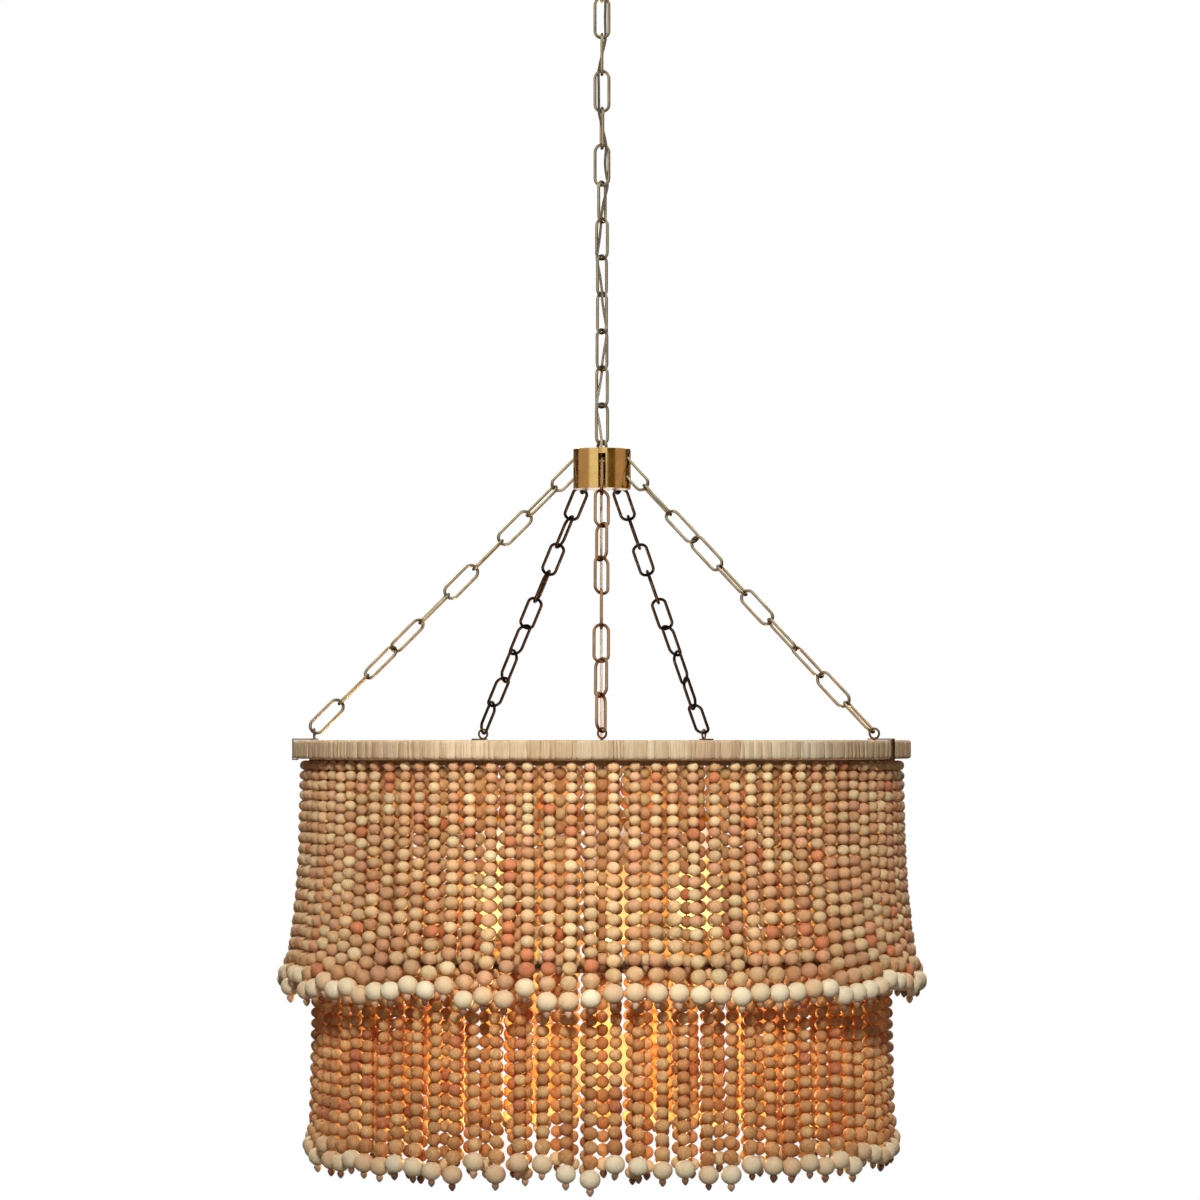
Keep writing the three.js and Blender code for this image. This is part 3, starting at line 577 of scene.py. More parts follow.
class Pile:
    """Shapes gathered into one mesh. Each has a material, a tint and coordinates for its grain."""

    def __init__(self):
        self.points, self.faces, self.slots, self.tints, self.grains = [], [], [], [], []
        self.count = 0

    def add(self, shape, slot=0, tint=PLAIN_TINT, grain=None):
        """Adds a shape. Its tint is one colour, or one for each point."""
        points, faces = shape
        places = np.array(points, float).reshape(-1, 3)
        self.faces += [tuple(corner + self.count for corner in face) for face in faces]
        self.slots += [slot] * len(faces)
        self.points.append(places)
        shade = np.array(tint, float)
        self.tints.append(np.tile(shade[:3], (len(places), 1)) if shade.ndim == 1 else shade)
        self.grains.append(places if grain is None else np.array(grain, float))
        self.count += len(places)
        return self

    def build(self, name, materials, sharp=None):
        """Makes the mesh, with edges above an angle shaded sharp."""
        places = np.vstack(self.points) * METRES
        mesh = bpy.data.meshes.new(name)
        mesh.from_pydata(places, [], self.faces)
        mesh.shade_smooth()
        if sharp:
            mesh.set_sharp_from_angle(angle=math.radians(sharp))
        for material in materials:
            mesh.materials.append(material)
        mesh.polygons.foreach_set("material_index", np.array(self.slots, np.int32))
        tints = np.hstack([np.vstack(self.tints), np.ones((self.count, 1))]).astype(np.float32)
        mesh.attributes.new("tint", "FLOAT_COLOR", "POINT").data.foreach_set("color", tints.ravel())
        grains = np.vstack(self.grains).astype(np.float32)
        mesh.attributes.new("grain", "FLOAT_VECTOR", "POINT").data.foreach_set("vector", grains.ravel())
        return added(mesh)


def single(name, shape, material, sharp=None, grain=None):
    """A mesh of one shape."""
    return Pile().add(shape, grain=grain).build(name, [material], sharp)


def tidied(piece):
    """Merges doubled points and turns the faces outwards."""
    shape = bmesh.new()
    shape.from_mesh(piece.data)
    bmesh.ops.remove_doubles(shape, verts=shape.verts, dist=MERGE_DISTANCE)
    bmesh.ops.dissolve_degenerate(shape, edges=shape.edges, dist=MERGE_DISTANCE)
    bmesh.ops.recalc_face_normals(shape, faces=shape.faces)
    shape.to_mesh(piece.data)
    shape.free()
    return piece


def softened(piece, width):
    """Rounds a piece's sharp edges a little."""
    bevel = piece.modifiers.new("edges", "BEVEL")
    bevel.width = width * METRES
    bevel.segments = BEVEL_SEGMENTS
    bevel.limit_method = "ANGLE"
    bevel.angle_limit = math.radians(BEVEL_ANGLE)
    return piece


def placed(piece, body, slot, *nodes):
    """The piece rides on a body, in place of CAD nodes. The slot that it is given is not used."""
    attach(piece, body)
    if nodes:
        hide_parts(*nodes)
    return piece


# Materials

# Sockets of the node that mixes two colours
MIX_FACTOR, MIX_ONE, MIX_TWO, MIX_RESULT = 0, 6, 7, 2


class Nodes:
    """A node tree, whose nodes are added one by one."""

    def __init__(self, tree):
        self.tree = tree

    def node(self, kind, inputs=None, output=0, **settings):
        made = self.tree.nodes.new("ShaderNode" + kind)
        for key, value in settings.items():
            setattr(made, key, value)
        for key, value in (inputs or {}).items():
            self.put(made.inputs[key], value)
        return made.outputs[output]

    def put(self, socket, value):
        if isinstance(value, bpy.types.NodeSocket):
            self.tree.links.new(value, socket)
        else:
            socket.default_value = value


class Look(Nodes):
    """A material with a Principled shader."""

    def __init__(self, name, **settings):
        self.material = bpy.data.materials.new(name)
        self.material.use_nodes = True
        super().__init__(self.material.node_tree)
        self.shader = self.tree.nodes["Principled BSDF"]
        for socket, value in settings.items():
            self.shader.inputs[socket.replace("_", " ").title().replace("Ior", "IOR")].default_value = value

    def set(self, socket, value):
        self.put(self.shader.inputs[socket], value)

    def tint(self, output="Color"):
        return self.node("Attribute", output=output, attribute_name="tint")

    def grain(self):
        return self.node("Attribute", output="Vector", attribute_name="grain")

    def place(self):
        return self.node("TexCoord", output="Object")

    def noise(self, vector, scale, detail=3.0, roughness=0.55):
        return self.node("TexNoise", {
            "Vector": vector, "Scale": scale, "Detail": detail, "Roughness": roughness,
        })

    def stretched(self, vector, *scale):
        return self.node("Mapping", {"Vector": vector, "Scale": scale})

    def ramp(self, value, low, high, to_low=0.0, to_high=1.0):
        return self.node("MapRange", {
            "Value": value, "From Min": low, "From Max": high, "To Min": to_low, "To Max": to_high,
        })

    def mix(self, factor, one, two, blend="MIX"):
        return self.node("Mix", {MIX_FACTOR: factor, MIX_ONE: one, MIX_TWO: two}, MIX_RESULT,
                         data_type="RGBA", blend_type=blend)

    def math(self, operation, one, two):
        return self.node("Math", {0: one, 1: two}, operation=operation)

    def bump(self, height, distance, strength):
        """Raises the surface by a distance in millimetres."""
        self.set("Normal", self.node("Bump", {
            "Height": height, "Distance": distance * METRES, "Strength": strength,
        }))


def wood_look(name, contrast, dark):
    """Turned wood: the tint of each bead, with its grain, rings and pores."""
    look = Look(name, specular_ior_level=0.35)
    tint, grain = look.tint(), look.grain()
    bent = look.noise(grain, scale=0.09, detail=2)
    rings = look.node("TexWave", {
        "Vector": look.stretched(grain, 1, 1, 0.25), "Scale": 0.16,
        "Distortion": 5, "Detail": 2, "Detail Scale": 1.2,
    }, output="Fac")
    streaks = look.noise(look.stretched(grain, 1.6, 1.6, 0.16), scale=0.9, detail=4)
    figure = look.math("ADD", look.math("MULTIPLY", rings, 0.3), look.math("MULTIPLY", streaks, 0.8))
    depth = look.ramp(figure, 0.35, 0.9, to_high=contrast)
    stained = look.mix(look.ramp(bent, 0.4, 0.75, to_high=contrast), tint, dark, "MULTIPLY")
    look.set("Base Color", look.mix(depth, stained, dark, "MULTIPLY"))
    look.set("Roughness", look.ramp(streaks, 0.2, 0.8, 0.46, 0.68))
    look.bump(streaks, distance=0.12, strength=0.5)
    return look.material


def fibre_look():
    """Flat strips of pale dried leaf: long streaks along each strip, and darker edges."""
    look = Look("fibre_strips", specular_ior_level=0.3)
    tint, grain = look.tint(), look.grain()
    streaks = look.noise(look.stretched(grain, 0.55, 0.02, 1), scale=1, detail=5, roughness=0.7)
    blotches = look.noise(look.stretched(grain, 0.12, 0.06, 1), scale=1, detail=2)
    base = look.mix(look.ramp(streaks, 0.42, 0.72, to_high=0.6), tint, colour(170, 136, 102), "MULTIPLY")
    base = look.mix(look.ramp(blotches, 0.55, 0.8, to_high=0.4), base, colour(168, 146, 118))
    look.set("Base Color", base)
    look.set("Roughness", look.ramp(streaks, 0.3, 0.8, 0.5, 0.8))
    look.bump(streaks, distance=0.35, strength=0.6)
    return look.material


def metal_look(name, base, patina, roughness, patina_level, brushed=0.0):
    """Plated metal, with a patina where the tint is bright, cloudy wear and fine marks round its axis."""
    look = Look(name, metallic=1.0)
    tint, place = look.tint("Fac"), look.place()
    cloud = look.noise(place, scale=90, detail=4)
    marks = look.noise(look.stretched(place, 160, 160, 5200), scale=1, detail=2)
    worn = look.math("ADD", look.ramp(cloud, 0.42, 0.72, to_high=patina_level), tint)
    look.set("Base Color", look.mix(look.math("MINIMUM", worn, 1.0), base, patina))
    clouded = look.ramp(cloud, 0.3, 0.7, roughness - 0.06, roughness + 0.08)
    look.set("Roughness", look.math("ADD", clouded, look.math("MULTIPLY", marks, brushed)))
    look.bump(marks, distance=0.02, strength=0.35 if brushed else 0.12)
    return look.material


def paint_look(name, base, worn):
    """Satin paint with worn spots and orange peel."""
    look = Look(name, metallic=0.4, specular_ior_level=0.4)
    place = look.place()
    cloud = look.noise(place, scale=60, detail=4)
    look.set("Base Color", look.mix(look.ramp(cloud, 0.5, 0.75), base, worn))
    look.set("Roughness", look.ramp(cloud, 0.3, 0.7, 0.42, 0.6))
    look.bump(look.noise(place, scale=900, detail=2), distance=0.05, strength=0.3)
    return look.material


def woven_look(name, base, shade, threads):
    """A woven cover: two crossing sets of threads."""
    look = Look(name, specular_ior_level=0.2, sheen_weight=0.2)
    grain = look.grain()
    one, two = [
        look.node("TexWave", {"Vector": vector, "Scale": threads, "Distortion": 0.6}, "Fac",
                  wave_type="BANDS", bands_direction="DIAGONAL")
        for vector in (grain, look.stretched(grain, -1, 1, 1))
    ]
    weave = look.math("MAXIMUM", one, two)
    wear = look.noise(grain, scale=0.12)
    worn = look.mix(look.ramp(wear, 0.35, 0.75, to_high=0.4), base, shade)
    look.set("Base Color", look.mix(look.ramp(weave, 0.2, 0.9, 0.65, 0.0), worn, shade))
    look.set("Roughness", look.ramp(weave, 0.0, 1.0, 0.9, 0.7))
    look.bump(weave, distance=0.2, strength=0.6)
    return look.material


def ceramic_look():
    """Matt cream ceramic with faint mottling."""
    look = Look("socket_ceramic", specular_ior_level=0.4)
    place = look.place()
    cloud = look.noise(place, scale=45, detail=4)
    cream, worn = colour(232, 224, 206), colour(205, 192, 168)
    look.set("Base Color", look.mix(look.ramp(cloud, 0.4, 0.8), cream, worn))
    look.set("Roughness", look.ramp(cloud, 0.3, 0.8, 0.35, 0.55))
    look.bump(look.noise(place, scale=700, detail=2), distance=0.04, strength=0.3)
    return look.material


def bulb_look():
    """Frosted glass with the light on, redder where the tint is bright, which is near its neck."""
    look = Look("bulb_glass", roughness=0.3)
    cloud = look.noise(look.place(), scale=40, detail=2)
    warm = look.mix(look.tint("Fac"), colour(255, 222, 140), colour(255, 178, 96))
    look.set("Base Color", look.mix(look.ramp(cloud, 0.3, 0.8, to_high=0.4), warm, colour(255, 214, 150)))
    look.set("Emission Color", warm)
    look.set("Emission Strength", look.ramp(cloud, 0.2, 0.8, BULB_GLOW * BULB_GLOW_UNEVENNESS, BULB_GLOW))
    return look.material


WOOD = {
    "upper": wood_look("bead_wood_pale", 0.3, colour(176, 112, 66)),
    "lower": wood_look("bead_wood_brown", 0.45, colour(150, 92, 54)),
}
BALL_WOOD = wood_look("ball_wood_cream", 0.16, colour(206, 164, 116))
FIBRE = fibre_look()
PADDING = woven_look("band_padding", colour(112, 82, 56), colour(66, 44, 28), threads=1.2)
TAPE = woven_look("header_tape", colour(178, 140, 100), colour(96, 66, 42), threads=0.9)
THREAD = woven_look("bead_thread", colour(186, 150, 108), colour(110, 80, 52), threads=2.0)
CORD = woven_look("cord_cover", colour(252, 247, 236), colour(232, 222, 202), threads=0.55)
BRASS = metal_look("brushed_brass", colour(247, 216, 140), colour(196, 150, 82), 0.15, 0.2, 0.06)
PALE_GOLD = metal_look("champagne_plating", colour(184, 173, 142), colour(50, 38, 24), 0.24, 0.35)
ANTIQUE_GOLD = metal_look("antique_gold_plating", colour(176, 138, 100), colour(62, 38, 20), 0.28, 0.35)
BRONZE = metal_look("dark_bronze", colour(70, 58, 48), colour(28, 22, 18), 0.34, 0.5)
STEEL = metal_look("zinc_plated_steel", colour(176, 180, 184), colour(118, 120, 122), 0.34, 0.5)
FRAME_PAINT = paint_look("frame_paint", colour(92, 78, 60), colour(58, 46, 34))
CERAMIC = ceramic_look()
BULB = bulb_look()


# Ceiling end

def make_strap():
    length, width, thickness = STRAP
    nut_bottom = -thickness - LOCKNUT_HEIGHT
    nipple_bottom = COLLAR_BOTTOM + COLLAR_FLOOR + SEAT_GAP
    root = NIPPLE_RADIUS - NIPPLE_THREAD_DEPTH
    turns = int((nut_bottom - nipple_bottom) / NIPPLE_THREAD_PITCH)
    thread = []
    for turn in range(turns):
        top = nut_bottom - turn * (nut_bottom - nipple_bottom) / turns
        thread += [(root, top - NIPPLE_THREAD_FLAT), (NIPPLE_RADIUS, top - NIPPLE_THREAD_PITCH / 2)]
    nipple = turned([(0, -thickness), *thread, (root, nipple_bottom), (0, nipple_bottom)], NIPPLE_SIDES)
    nut = turned([(0, -thickness), (LOCKNUT_RADIUS, -thickness), (LOCKNUT_RADIUS, nut_bottom),
                  (0, nut_bottom)], HEX_SIDES)
    strap = block((-length / 2, -width / 2, -thickness), (length / 2, width / 2, 0))
    pile = Pile().add(strap).add(nut).add(nipple)
    piece = softened(tidied(pile.build("strap_and_nipple", [STEEL], FLAT_SHARP)), STRAP_EDGE)
    return placed(piece, "ceiling", "steel", "ceiling_strap")


def make_canopy():
    inner_radius, inner_depth = CANOPY_RADIUS - CANOPY_WALL, CANOPY_DEPTH - CANOPY_WALL
    outer = []
    for step in range(CANOPY_ARC_STEPS + 1):
        angle = math.radians(90 * step / CANOPY_ARC_STEPS)
        across = math.cos(angle)
        if across ** 0.5 * CANOPY_RADIUS <= CANOPY_FLAT_RADIUS:
            break
        swell = 1 - CANOPY_SWELL_SHARE + CANOPY_SWELL_SHARE * across
        outer.append((CANOPY_RADIUS * swell * max(across, CANOPY_FLAT_SHARE) ** 0.5,
                      -CANOPY_DEPTH * math.sin(angle)))
    inner = [(radius * inner_radius / CANOPY_RADIUS, height * inner_depth / CANOPY_DEPTH)
             for radius, height in outer]
    profile = [*outer, (CANOPY_HOLE, -CANOPY_DEPTH), (CANOPY_HOLE, -inner_depth), *reversed(inner)]
    cover = turned(profile, CANOPY_SIDES, loop=True)
    piece = tidied(single("canopy_cover", cover, BRASS, ROUND_SHARP))
    return placed(piece, "canopy", "brass", "ceiling_canopy")


def make_ring_nut():
    inner = COLLAR_RADIUS + SEAT_GAP
    outer = inner + RING_NUT_WALL
    top = -CANOPY_DEPTH - SEAT_GAP
    heights = [top, top - RING_NUT_CHAMFER_HEIGHT, COLLAR_BOTTOM + RING_NUT_CHAMFER_HEIGHT, COLLAR_BOTTOM]
    reaches = [outer - RING_NUT_CHAMFER, outer, outer, outer - RING_NUT_CHAMFER]
    profile = [*zip(reaches, heights), (inner, COLLAR_BOTTOM), (inner, top)]
    points, faces = turned(profile, 2 * RING_NUT_KNURLS, loop=True)
    knurled = []
    for index, (x, y, z) in enumerate(points):
        cut = index % 2 and math.hypot(x, y) > outer - RING_NUT_CHAMFER / 2
        shrink = (outer - RING_NUT_KNURL_DEPTH) / outer if cut else 1
        knurled.append((x * shrink, y * shrink, z))
    piece = tidied(single("ring_nut", (knurled, faces), BRASS, ROUND_SHARP))
    return placed(piece, "canopy", "brass", "canopy_ring_nut")


def make_loop():
    neck_bottom = LOOP_CENTRE + LOOP_RADIUS - LOOP_WIRE / 2 - SEAT_GAP
    collar_top = -CANOPY_DEPTH + COLLAR_RISE
    collar = lathe([
        (0, collar_top), (COLLAR_RADIUS, collar_top), (COLLAR_RADIUS, COLLAR_BOTTOM),
        (LOOP_NECK_RADIUS, COLLAR_BOTTOM), (LOOP_NECK_RADIUS, neck_bottom), (0, neck_bottom),
    ], LOOP_SIDES)
    ring = moved(wire_ring(LOOP_RADIUS, LOOP_WIRE, LOOP_SIDES, LOOP_WIRE_SIDES), upright(LOOP_TURN))
    pile = Pile().add(collar).add(shifted(ring, z=LOOP_CENTRE))
    piece = pile.build("screw_loop", [BRASS], ROUND_SHARP)
    return placed(piece, "ceiling", "brass", "canopy_loop")


# Chains

def link_top(index):
    """The height of the inner top of a link of the main chain. After the last link it is the bow's."""
    return FIRST_LINK_TOP - index * LINK_PITCH


def link_middle(index):
    return link_top(index) - LINK_INNER / 2


def link_shape(inner_length):
    """An upright oval link in the XZ plane about its middle, with tints that give its ends a patina."""
    bend = (LINK_WIDTH - LINK_WIRE) / 2
    straight = (inner_length + LINK_WIRE) / 2 - bend
    path = []
    for end in (1, -1):
        for step in range(LINK_ARC_STEPS + 1):
            angle = math.pi * step / LINK_ARC_STEPS + (0 if end == 1 else math.pi)
            path.append((bend * math.cos(angle), 0, bend * math.sin(angle) + end * straight))
        for step in range(1, LINK_SIDE_STEPS):
            path.append((-end * bend, 0, end * straight * (1 - 2 * step / LINK_SIDE_STEPS)))
    points, faces = tube(path, LINK_WIRE / 2, WIRE_SIDES, closed=True)
    tints = []
    for point in points:
        share = max(0.0, (abs(point.z) - straight) / (bend + LINK_WIRE / 2))
        tints.append([share ** 2] * 3)
    return (points, faces), tints


def make_main_chain():
    shape, tints = link_shape(LINK_INNER)
    for index, (body, turn) in enumerate(zip(LINK_BODIES, LINK_TURNS)):
        place = Matrix.Translation((0, 0, link_middle(index))) @ Matrix.Rotation(math.radians(turn), 4, "Z")
        pile = Pile().add(moved(shape, place), tint=tints)
        placed(pile.build(body, [PALE_GOLD]), body, "pale_gold", f"main_{body}")


RIM_EYE_HEIGHT = HOOP_TOP + SEAT_GAP + EYE_WIRE / 2 + EYE_RADIUS
SPOKE_EYE_HEIGHT = SPOKE_TOP + SEAT_GAP + CLAMP_WALL + CLAMP_STEM_LENGTH + EYE_WIRE / 2 + EYE_RADIUS
CHAIN_ENDS = (HUB_RING_WIRE + EYE_WIRE) / 2 + 2 * SEAT_GAP + LINK_PRESS
RIM_REACH = math.hypot(HOOP_RADIUS - EYE_INSET - HUB_RING_RADIUS,
                       HUB_RING_HEIGHT - RIM_EYE_HEIGHT - EYE_RADIUS)
LOWER_PITCH = (RIM_REACH + CHAIN_ENDS) / len(LOWER_CHAINS["left"][2])


def hang(side):
    """The middle of a lower chain's end eye and the chain's direction, worked out along +X."""
    _, eye_turn, turns = LOWER_CHAINS[side]
    eye_height = SPOKE_EYE_HEIGHT if side == "front" else RIM_EYE_HEIGHT
    reach = LOWER_PITCH * len(turns) - CHAIN_ENDS
    flat = Vector((math.cos(math.radians(eye_turn)), math.sin(math.radians(eye_turn)), 0))
    contact = Vector((0, 0, EYE_RADIUS))
    eye, direction = Vector((0, 0, eye_height)), Vector()
    for _ in range(HANG_ROUNDS):
        drop = HUB_RING_HEIGHT - eye_height - contact.z
        out = math.sqrt(reach ** 2 - drop ** 2 - contact.y ** 2)
        direction = Vector((out, contact.y, -drop)).normalized()
        eye.x = HUB_RING_RADIUS + out - contact.x
        contact = (-flat * direction.dot(flat) + Vector((0, 0, -direction.z))).normalized() * EYE_RADIUS
    return eye, direction


def make_lower_chain(side, material, slot):
    azimuth, _, turns = LOWER_CHAINS[side]
    _, direction = hang(side)
    across = (Vector((0, 1, 0)) - direction * direction.y).normalized()
    upward = direction.cross(across)
    inner = LOWER_PITCH - LINK_PRESS
    shape, tints = link_shape(inner)
    pile = Pile()
    for index, quarter_turns in enumerate(turns):
        roll = quarter_turns * math.pi / 2
        normal = across * math.cos(roll) + upward * math.sin(roll)
        along = -HUB_RING_WIRE / 2 - SEAT_GAP + index * LOWER_PITCH + inner / 2
        middle = Vector((HUB_RING_RADIUS, 0, HUB_RING_HEIGHT)) + direction * along
        basis = Matrix((normal.cross(direction), normal, direction)).transposed().to_4x4()
        pile.add(moved(shape, azimuth_turn(azimuth) @ Matrix.Translation(middle) @ basis), tint=tints)
    return placed(pile.build(f"{side}_chain", [material]), "fixture", slot, f"chain_{side}")


def eye_ring(side):
    _, eye_turn, _ = LOWER_CHAINS[side]
    eye, _ = hang(side)
    ring = wire_ring(EYE_RADIUS, EYE_WIRE, EYE_STEPS)
    return moved(ring, Matrix.Translation((eye.x, 0, eye.z)) @ upright(eye_turn))


def rim_clip():
    """The strip bent over the hoop, as an outline across it."""
    plate_top, plate_bottom = HOOP_TOP + SEAT_GAP + CLIP_THICKNESS, HOOP_TOP + SEAT_GAP
    lip_outer = HOOP_RADIUS - HOOP_WIDTH - CLIP_LIP_GAP
    lip_inner = lip_outer - CLIP_THICKNESS
    leg_inner = HOOP_RADIUS + SEAT_GAP
    leg_outer = leg_inner + CLIP_THICKNESS
    hook_top = HOOP_TOP - HOOP_HEIGHT - SEAT_GAP
    hook_bottom = hook_top - CLIP_THICKNESS
    tongue = HOOP_RADIUS - EYE_INSET - CLIP_TONGUE
    return plate([
        (tongue, plate_top), (tongue, plate_bottom), (lip_inner, plate_bottom),
        (lip_inner, HOOP_TOP - CLIP_LIP), (lip_outer, HOOP_TOP - CLIP_LIP), (lip_outer, plate_bottom),
        (leg_inner, plate_bottom), (leg_inner, hook_top), (leg_outer - CLIP_HOOK, hook_top),
        (leg_outer - CLIP_HOOK, hook_bottom), (leg_outer, hook_bottom), (leg_outer, plate_top),
    ], CLIP_WIDTH)


def spoke_clamp(eye):
    """The collar round a spoke, with the stem that carries the eye."""
    half = SPOKE_SIDE / 2 + SEAT_GAP
    outer = half + CLAMP_WALL
    middle = SPOKE_TOP - SPOKE_SIDE / 2
    low, high = eye.x - CLAMP_WIDTH / 2, eye.x + CLAMP_WIDTH / 2
    walls = [
        block((low, -outer, middle + half), (high, outer, middle + outer)),
        block((low, -outer, middle - outer), (high, outer, middle - half)),
        block((low, -outer, middle - half), (high, -half, middle + half)),
        block((low, half, middle - half), (high, outer, middle + half)),
    ]
    stem = bar(CLAMP_STEM_RADIUS, eye.z - EYE_RADIUS, middle + half, CLAMP_STEM_SIDES)
    return [*walls, shifted(stem, x=eye.x)]


def make_hanger(side):
    azimuth, _, _ = LOWER_CHAINS[side]
    eye, _ = hang(side)
    shapes = spoke_clamp(eye) if side == "front" else [rim_clip()]
    pile = Pile()
    for shape in [*shapes, eye_ring(side)]:
        pile.add(moved(shape, azimuth_turn(azimuth)))
    piece = softened(tidied(pile.build(f"{side}_hanger", [ANTIQUE_GOLD], FLAT_SHARP)), HANGER_EDGE)
    return placed(piece, "fixture", "antique_gold", f"hanger_{side}")


# Supply cord

def cord_angle():
    return (LINK_TURNS[-1] + ARCH_TURN) / 2


def supply_route():
    """The cord's corners down through the chain, as the CAD has them."""
    turns = [LOOP_TURN, *LINK_TURNS, ARCH_TURN]
    crossings = [link_top(index) for index in range(len(LINK_TURNS))] + [ARCH_INSIDE]
    clear = max(LINK_WIRE, LOOP_WIRE) / 2 + CORD_RADIUS + SEAT_GAP
    route = [Vector((0, 0, CORD_START)),
             Vector((0, 0, LOOP_CENTRE + LOOP_RADIUS - LOOP_WIRE / 2 - SEAT_GAP))]
    for index, height in enumerate(crossings):
        half = (turns[index + 1] - turns[index]) / 2
        corner = clear / math.sin(math.radians(half))
        angle = turns[index] + half
        route.append(beside_axis(corner, angle, height + LINK_WIRE / 2))
        if index == len(LINK_TURNS):
            break
        route.append(beside_axis(corner, angle, height - LINK_WIRE))
        route.append(beside_axis(CORD_MID_OFFSET, turns[index + 1], height - LINK_INNER / 2))
    route.append(beside_axis(CORD_HOLE_OFFSET, cord_angle(), ARCH_INSIDE - LINK_WIRE))
    route.append(beside_axis(CORD_HOLE_OFFSET, cord_angle(), HUB_TOP - HUB_PLATE))
    return route


def smoothed(route, step):
    """A centripetal curve through the route's points, as points no further apart than a step."""
    ends = [route[0] * 2 - route[1], *route, route[-1] * 2 - route[-2]]
    out = []
    for index in range(1, len(ends) - 2):
        p0, p1, p2, p3 = ends[index - 1:index + 3]
        t1 = (p1 - p0).length ** 0.5
        t2 = t1 + (p2 - p1).length ** 0.5
        t3 = t2 + (p3 - p2).length ** 0.5
        pieces = max(2, math.ceil((p2 - p1).length / step))
        for share in range(pieces):
            t = t1 + (t2 - t1) * share / pieces
            a1 = p0 * ((t1 - t) / t1) + p1 * (t / t1)
            a2 = p1 * ((t2 - t) / (t2 - t1)) + p2 * ((t - t1) / (t2 - t1))
            a3 = p2 * ((t3 - t) / (t3 - t2)) + p3 * ((t - t2) / (t3 - t2))
            b1 = a1 * ((t2 - t) / t2) + a2 * (t / t2)
            b2 = a2 * ((t3 - t) / (t3 - t1)) + a3 * ((t - t1) / (t3 - t1))
            out.append(b1 * ((t2 - t) / (t2 - t1)) + b2 * ((t - t1) / (t2 - t1)))
    return [*out, route[-1]]


def cord_shape(points, start):
    """A stretch of cord whose grain runs on from a length already laid, and the length laid after it."""
    shape = tube(points, CORD_RADIUS, CORD_SIDES)
    along, grains = start, []
    for index, point in enumerate(points):
        if index:
            along += (point - points[index - 1]).length
        for side in range(CORD_SIDES):
            grains.append((2 * math.pi * CORD_RADIUS * side / CORD_SIDES, along, 0))
    return shape, grains, along


def make_supply_cord():
    """The cord in stretches from the middle of one link to the middle of the next."""
    points = smoothed(supply_route(), CORD_STEP)
    links = range(len(LINK_TURNS))
    joints = [LOOP_CENTRE - LOOP_RADIUS,
              *[link_top(index) - LINK_INNER - LINK_WIRE / 2 for index in links]]
    nearest = [min(range(len(points)), key=lambda place: abs(points[place].z - link_middle(index)))
               for index in links]
    cuts = [0, *nearest, len(points) - 1]
    laid = 0
    for index, joint in enumerate(joints):
        shape, grains, laid = cord_shape(points[cuts[index]:cuts[index + 1] + 1], laid)
        piece = single(f"cord_{index + 1:02d}", shape, CORD, grain=grains)
        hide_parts("supply_cord")
        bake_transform(piece)
    return laid


def make_lamp_cord():
    top = HUB_TOP - HUB_PLATE - SEAT_GAP
    bottom = BOSS_TOP + SEAT_GAP + FLANGE_HEIGHT - DROP_CORD_SINK + SEAT_GAP
    points = [beside_axis(CORD_HOLE_OFFSET, cord_angle(), top + (bottom - top) * step / DROP_CORD_STEPS)
              for step in range(DROP_CORD_STEPS + 1)]
    shape, grains, length = cord_shape(points, 0)
    placed(single("drop_cord", shape, CORD, grain=grains), "fixture", "cord", "lamp_cord")
    return length


# Hub

def hub_angles():
    """The directions of the hub's facets, with one at each side of every slot, and which are in a slot."""
    half = math.asin(HUB_SLOT_WIDTH / 2 / HUB_RADIUS)
    middles = sorted((math.radians(chain[0] - 90) % (2 * math.pi)) for chain in LOWER_CHAINS.values())
    angles, slots = [], []
    for index, middle in enumerate(middles):
        following = middles[(index + 1) % len(middles)]
        if following <= middle:
            following += 2 * math.pi
        angles.append(middle - half)
        slots.append(True)
        first, last = middle + half, following - half
        steps = max(1, round((last - first) / math.radians(HUB_FACET)))
        for step in range(steps):
            angles.append(first + (last - first) * step / steps)
            slots.append(False)
    return angles, slots


def make_hub_shell():
    angles, slots = hub_angles()
    floor_top, slot_top = HUB_BOTTOM + HUB_FLOOR, HUB_BOTTOM + HUB_SLOT_HEIGHT

    def keep(ring, sector, layer):
        if ring == 2:
            return not (slots[sector] and layer < 2)
        return layer == 0 and not (ring == 1 and slots[sector])

    radii = [HUB_CORE_RADIUS, HUB_NOTCH_RADIUS, HUB_RADIUS - HUB_WALL, HUB_RADIUS]
    cup = polar_cells(radii, angles, [HUB_BOTTOM, floor_top, slot_top, HUB_TOP], keep)
    post_top, post_bottom = HUB_TOP - HUB_PLATE - SEAT_GAP, HUB_BOTTOM + HUB_FLOOR / 2
    pile = Pile().add(cup).add(bar(HUB_POST_RADIUS, post_top, post_bottom, HUB_POST_SIDES))
    piece = softened(tidied(pile.build("hub_cup", [BRASS], FLAT_SHARP)), HUB_EDGE)
    return placed(piece, "fixture", "brass", "hub_shell")


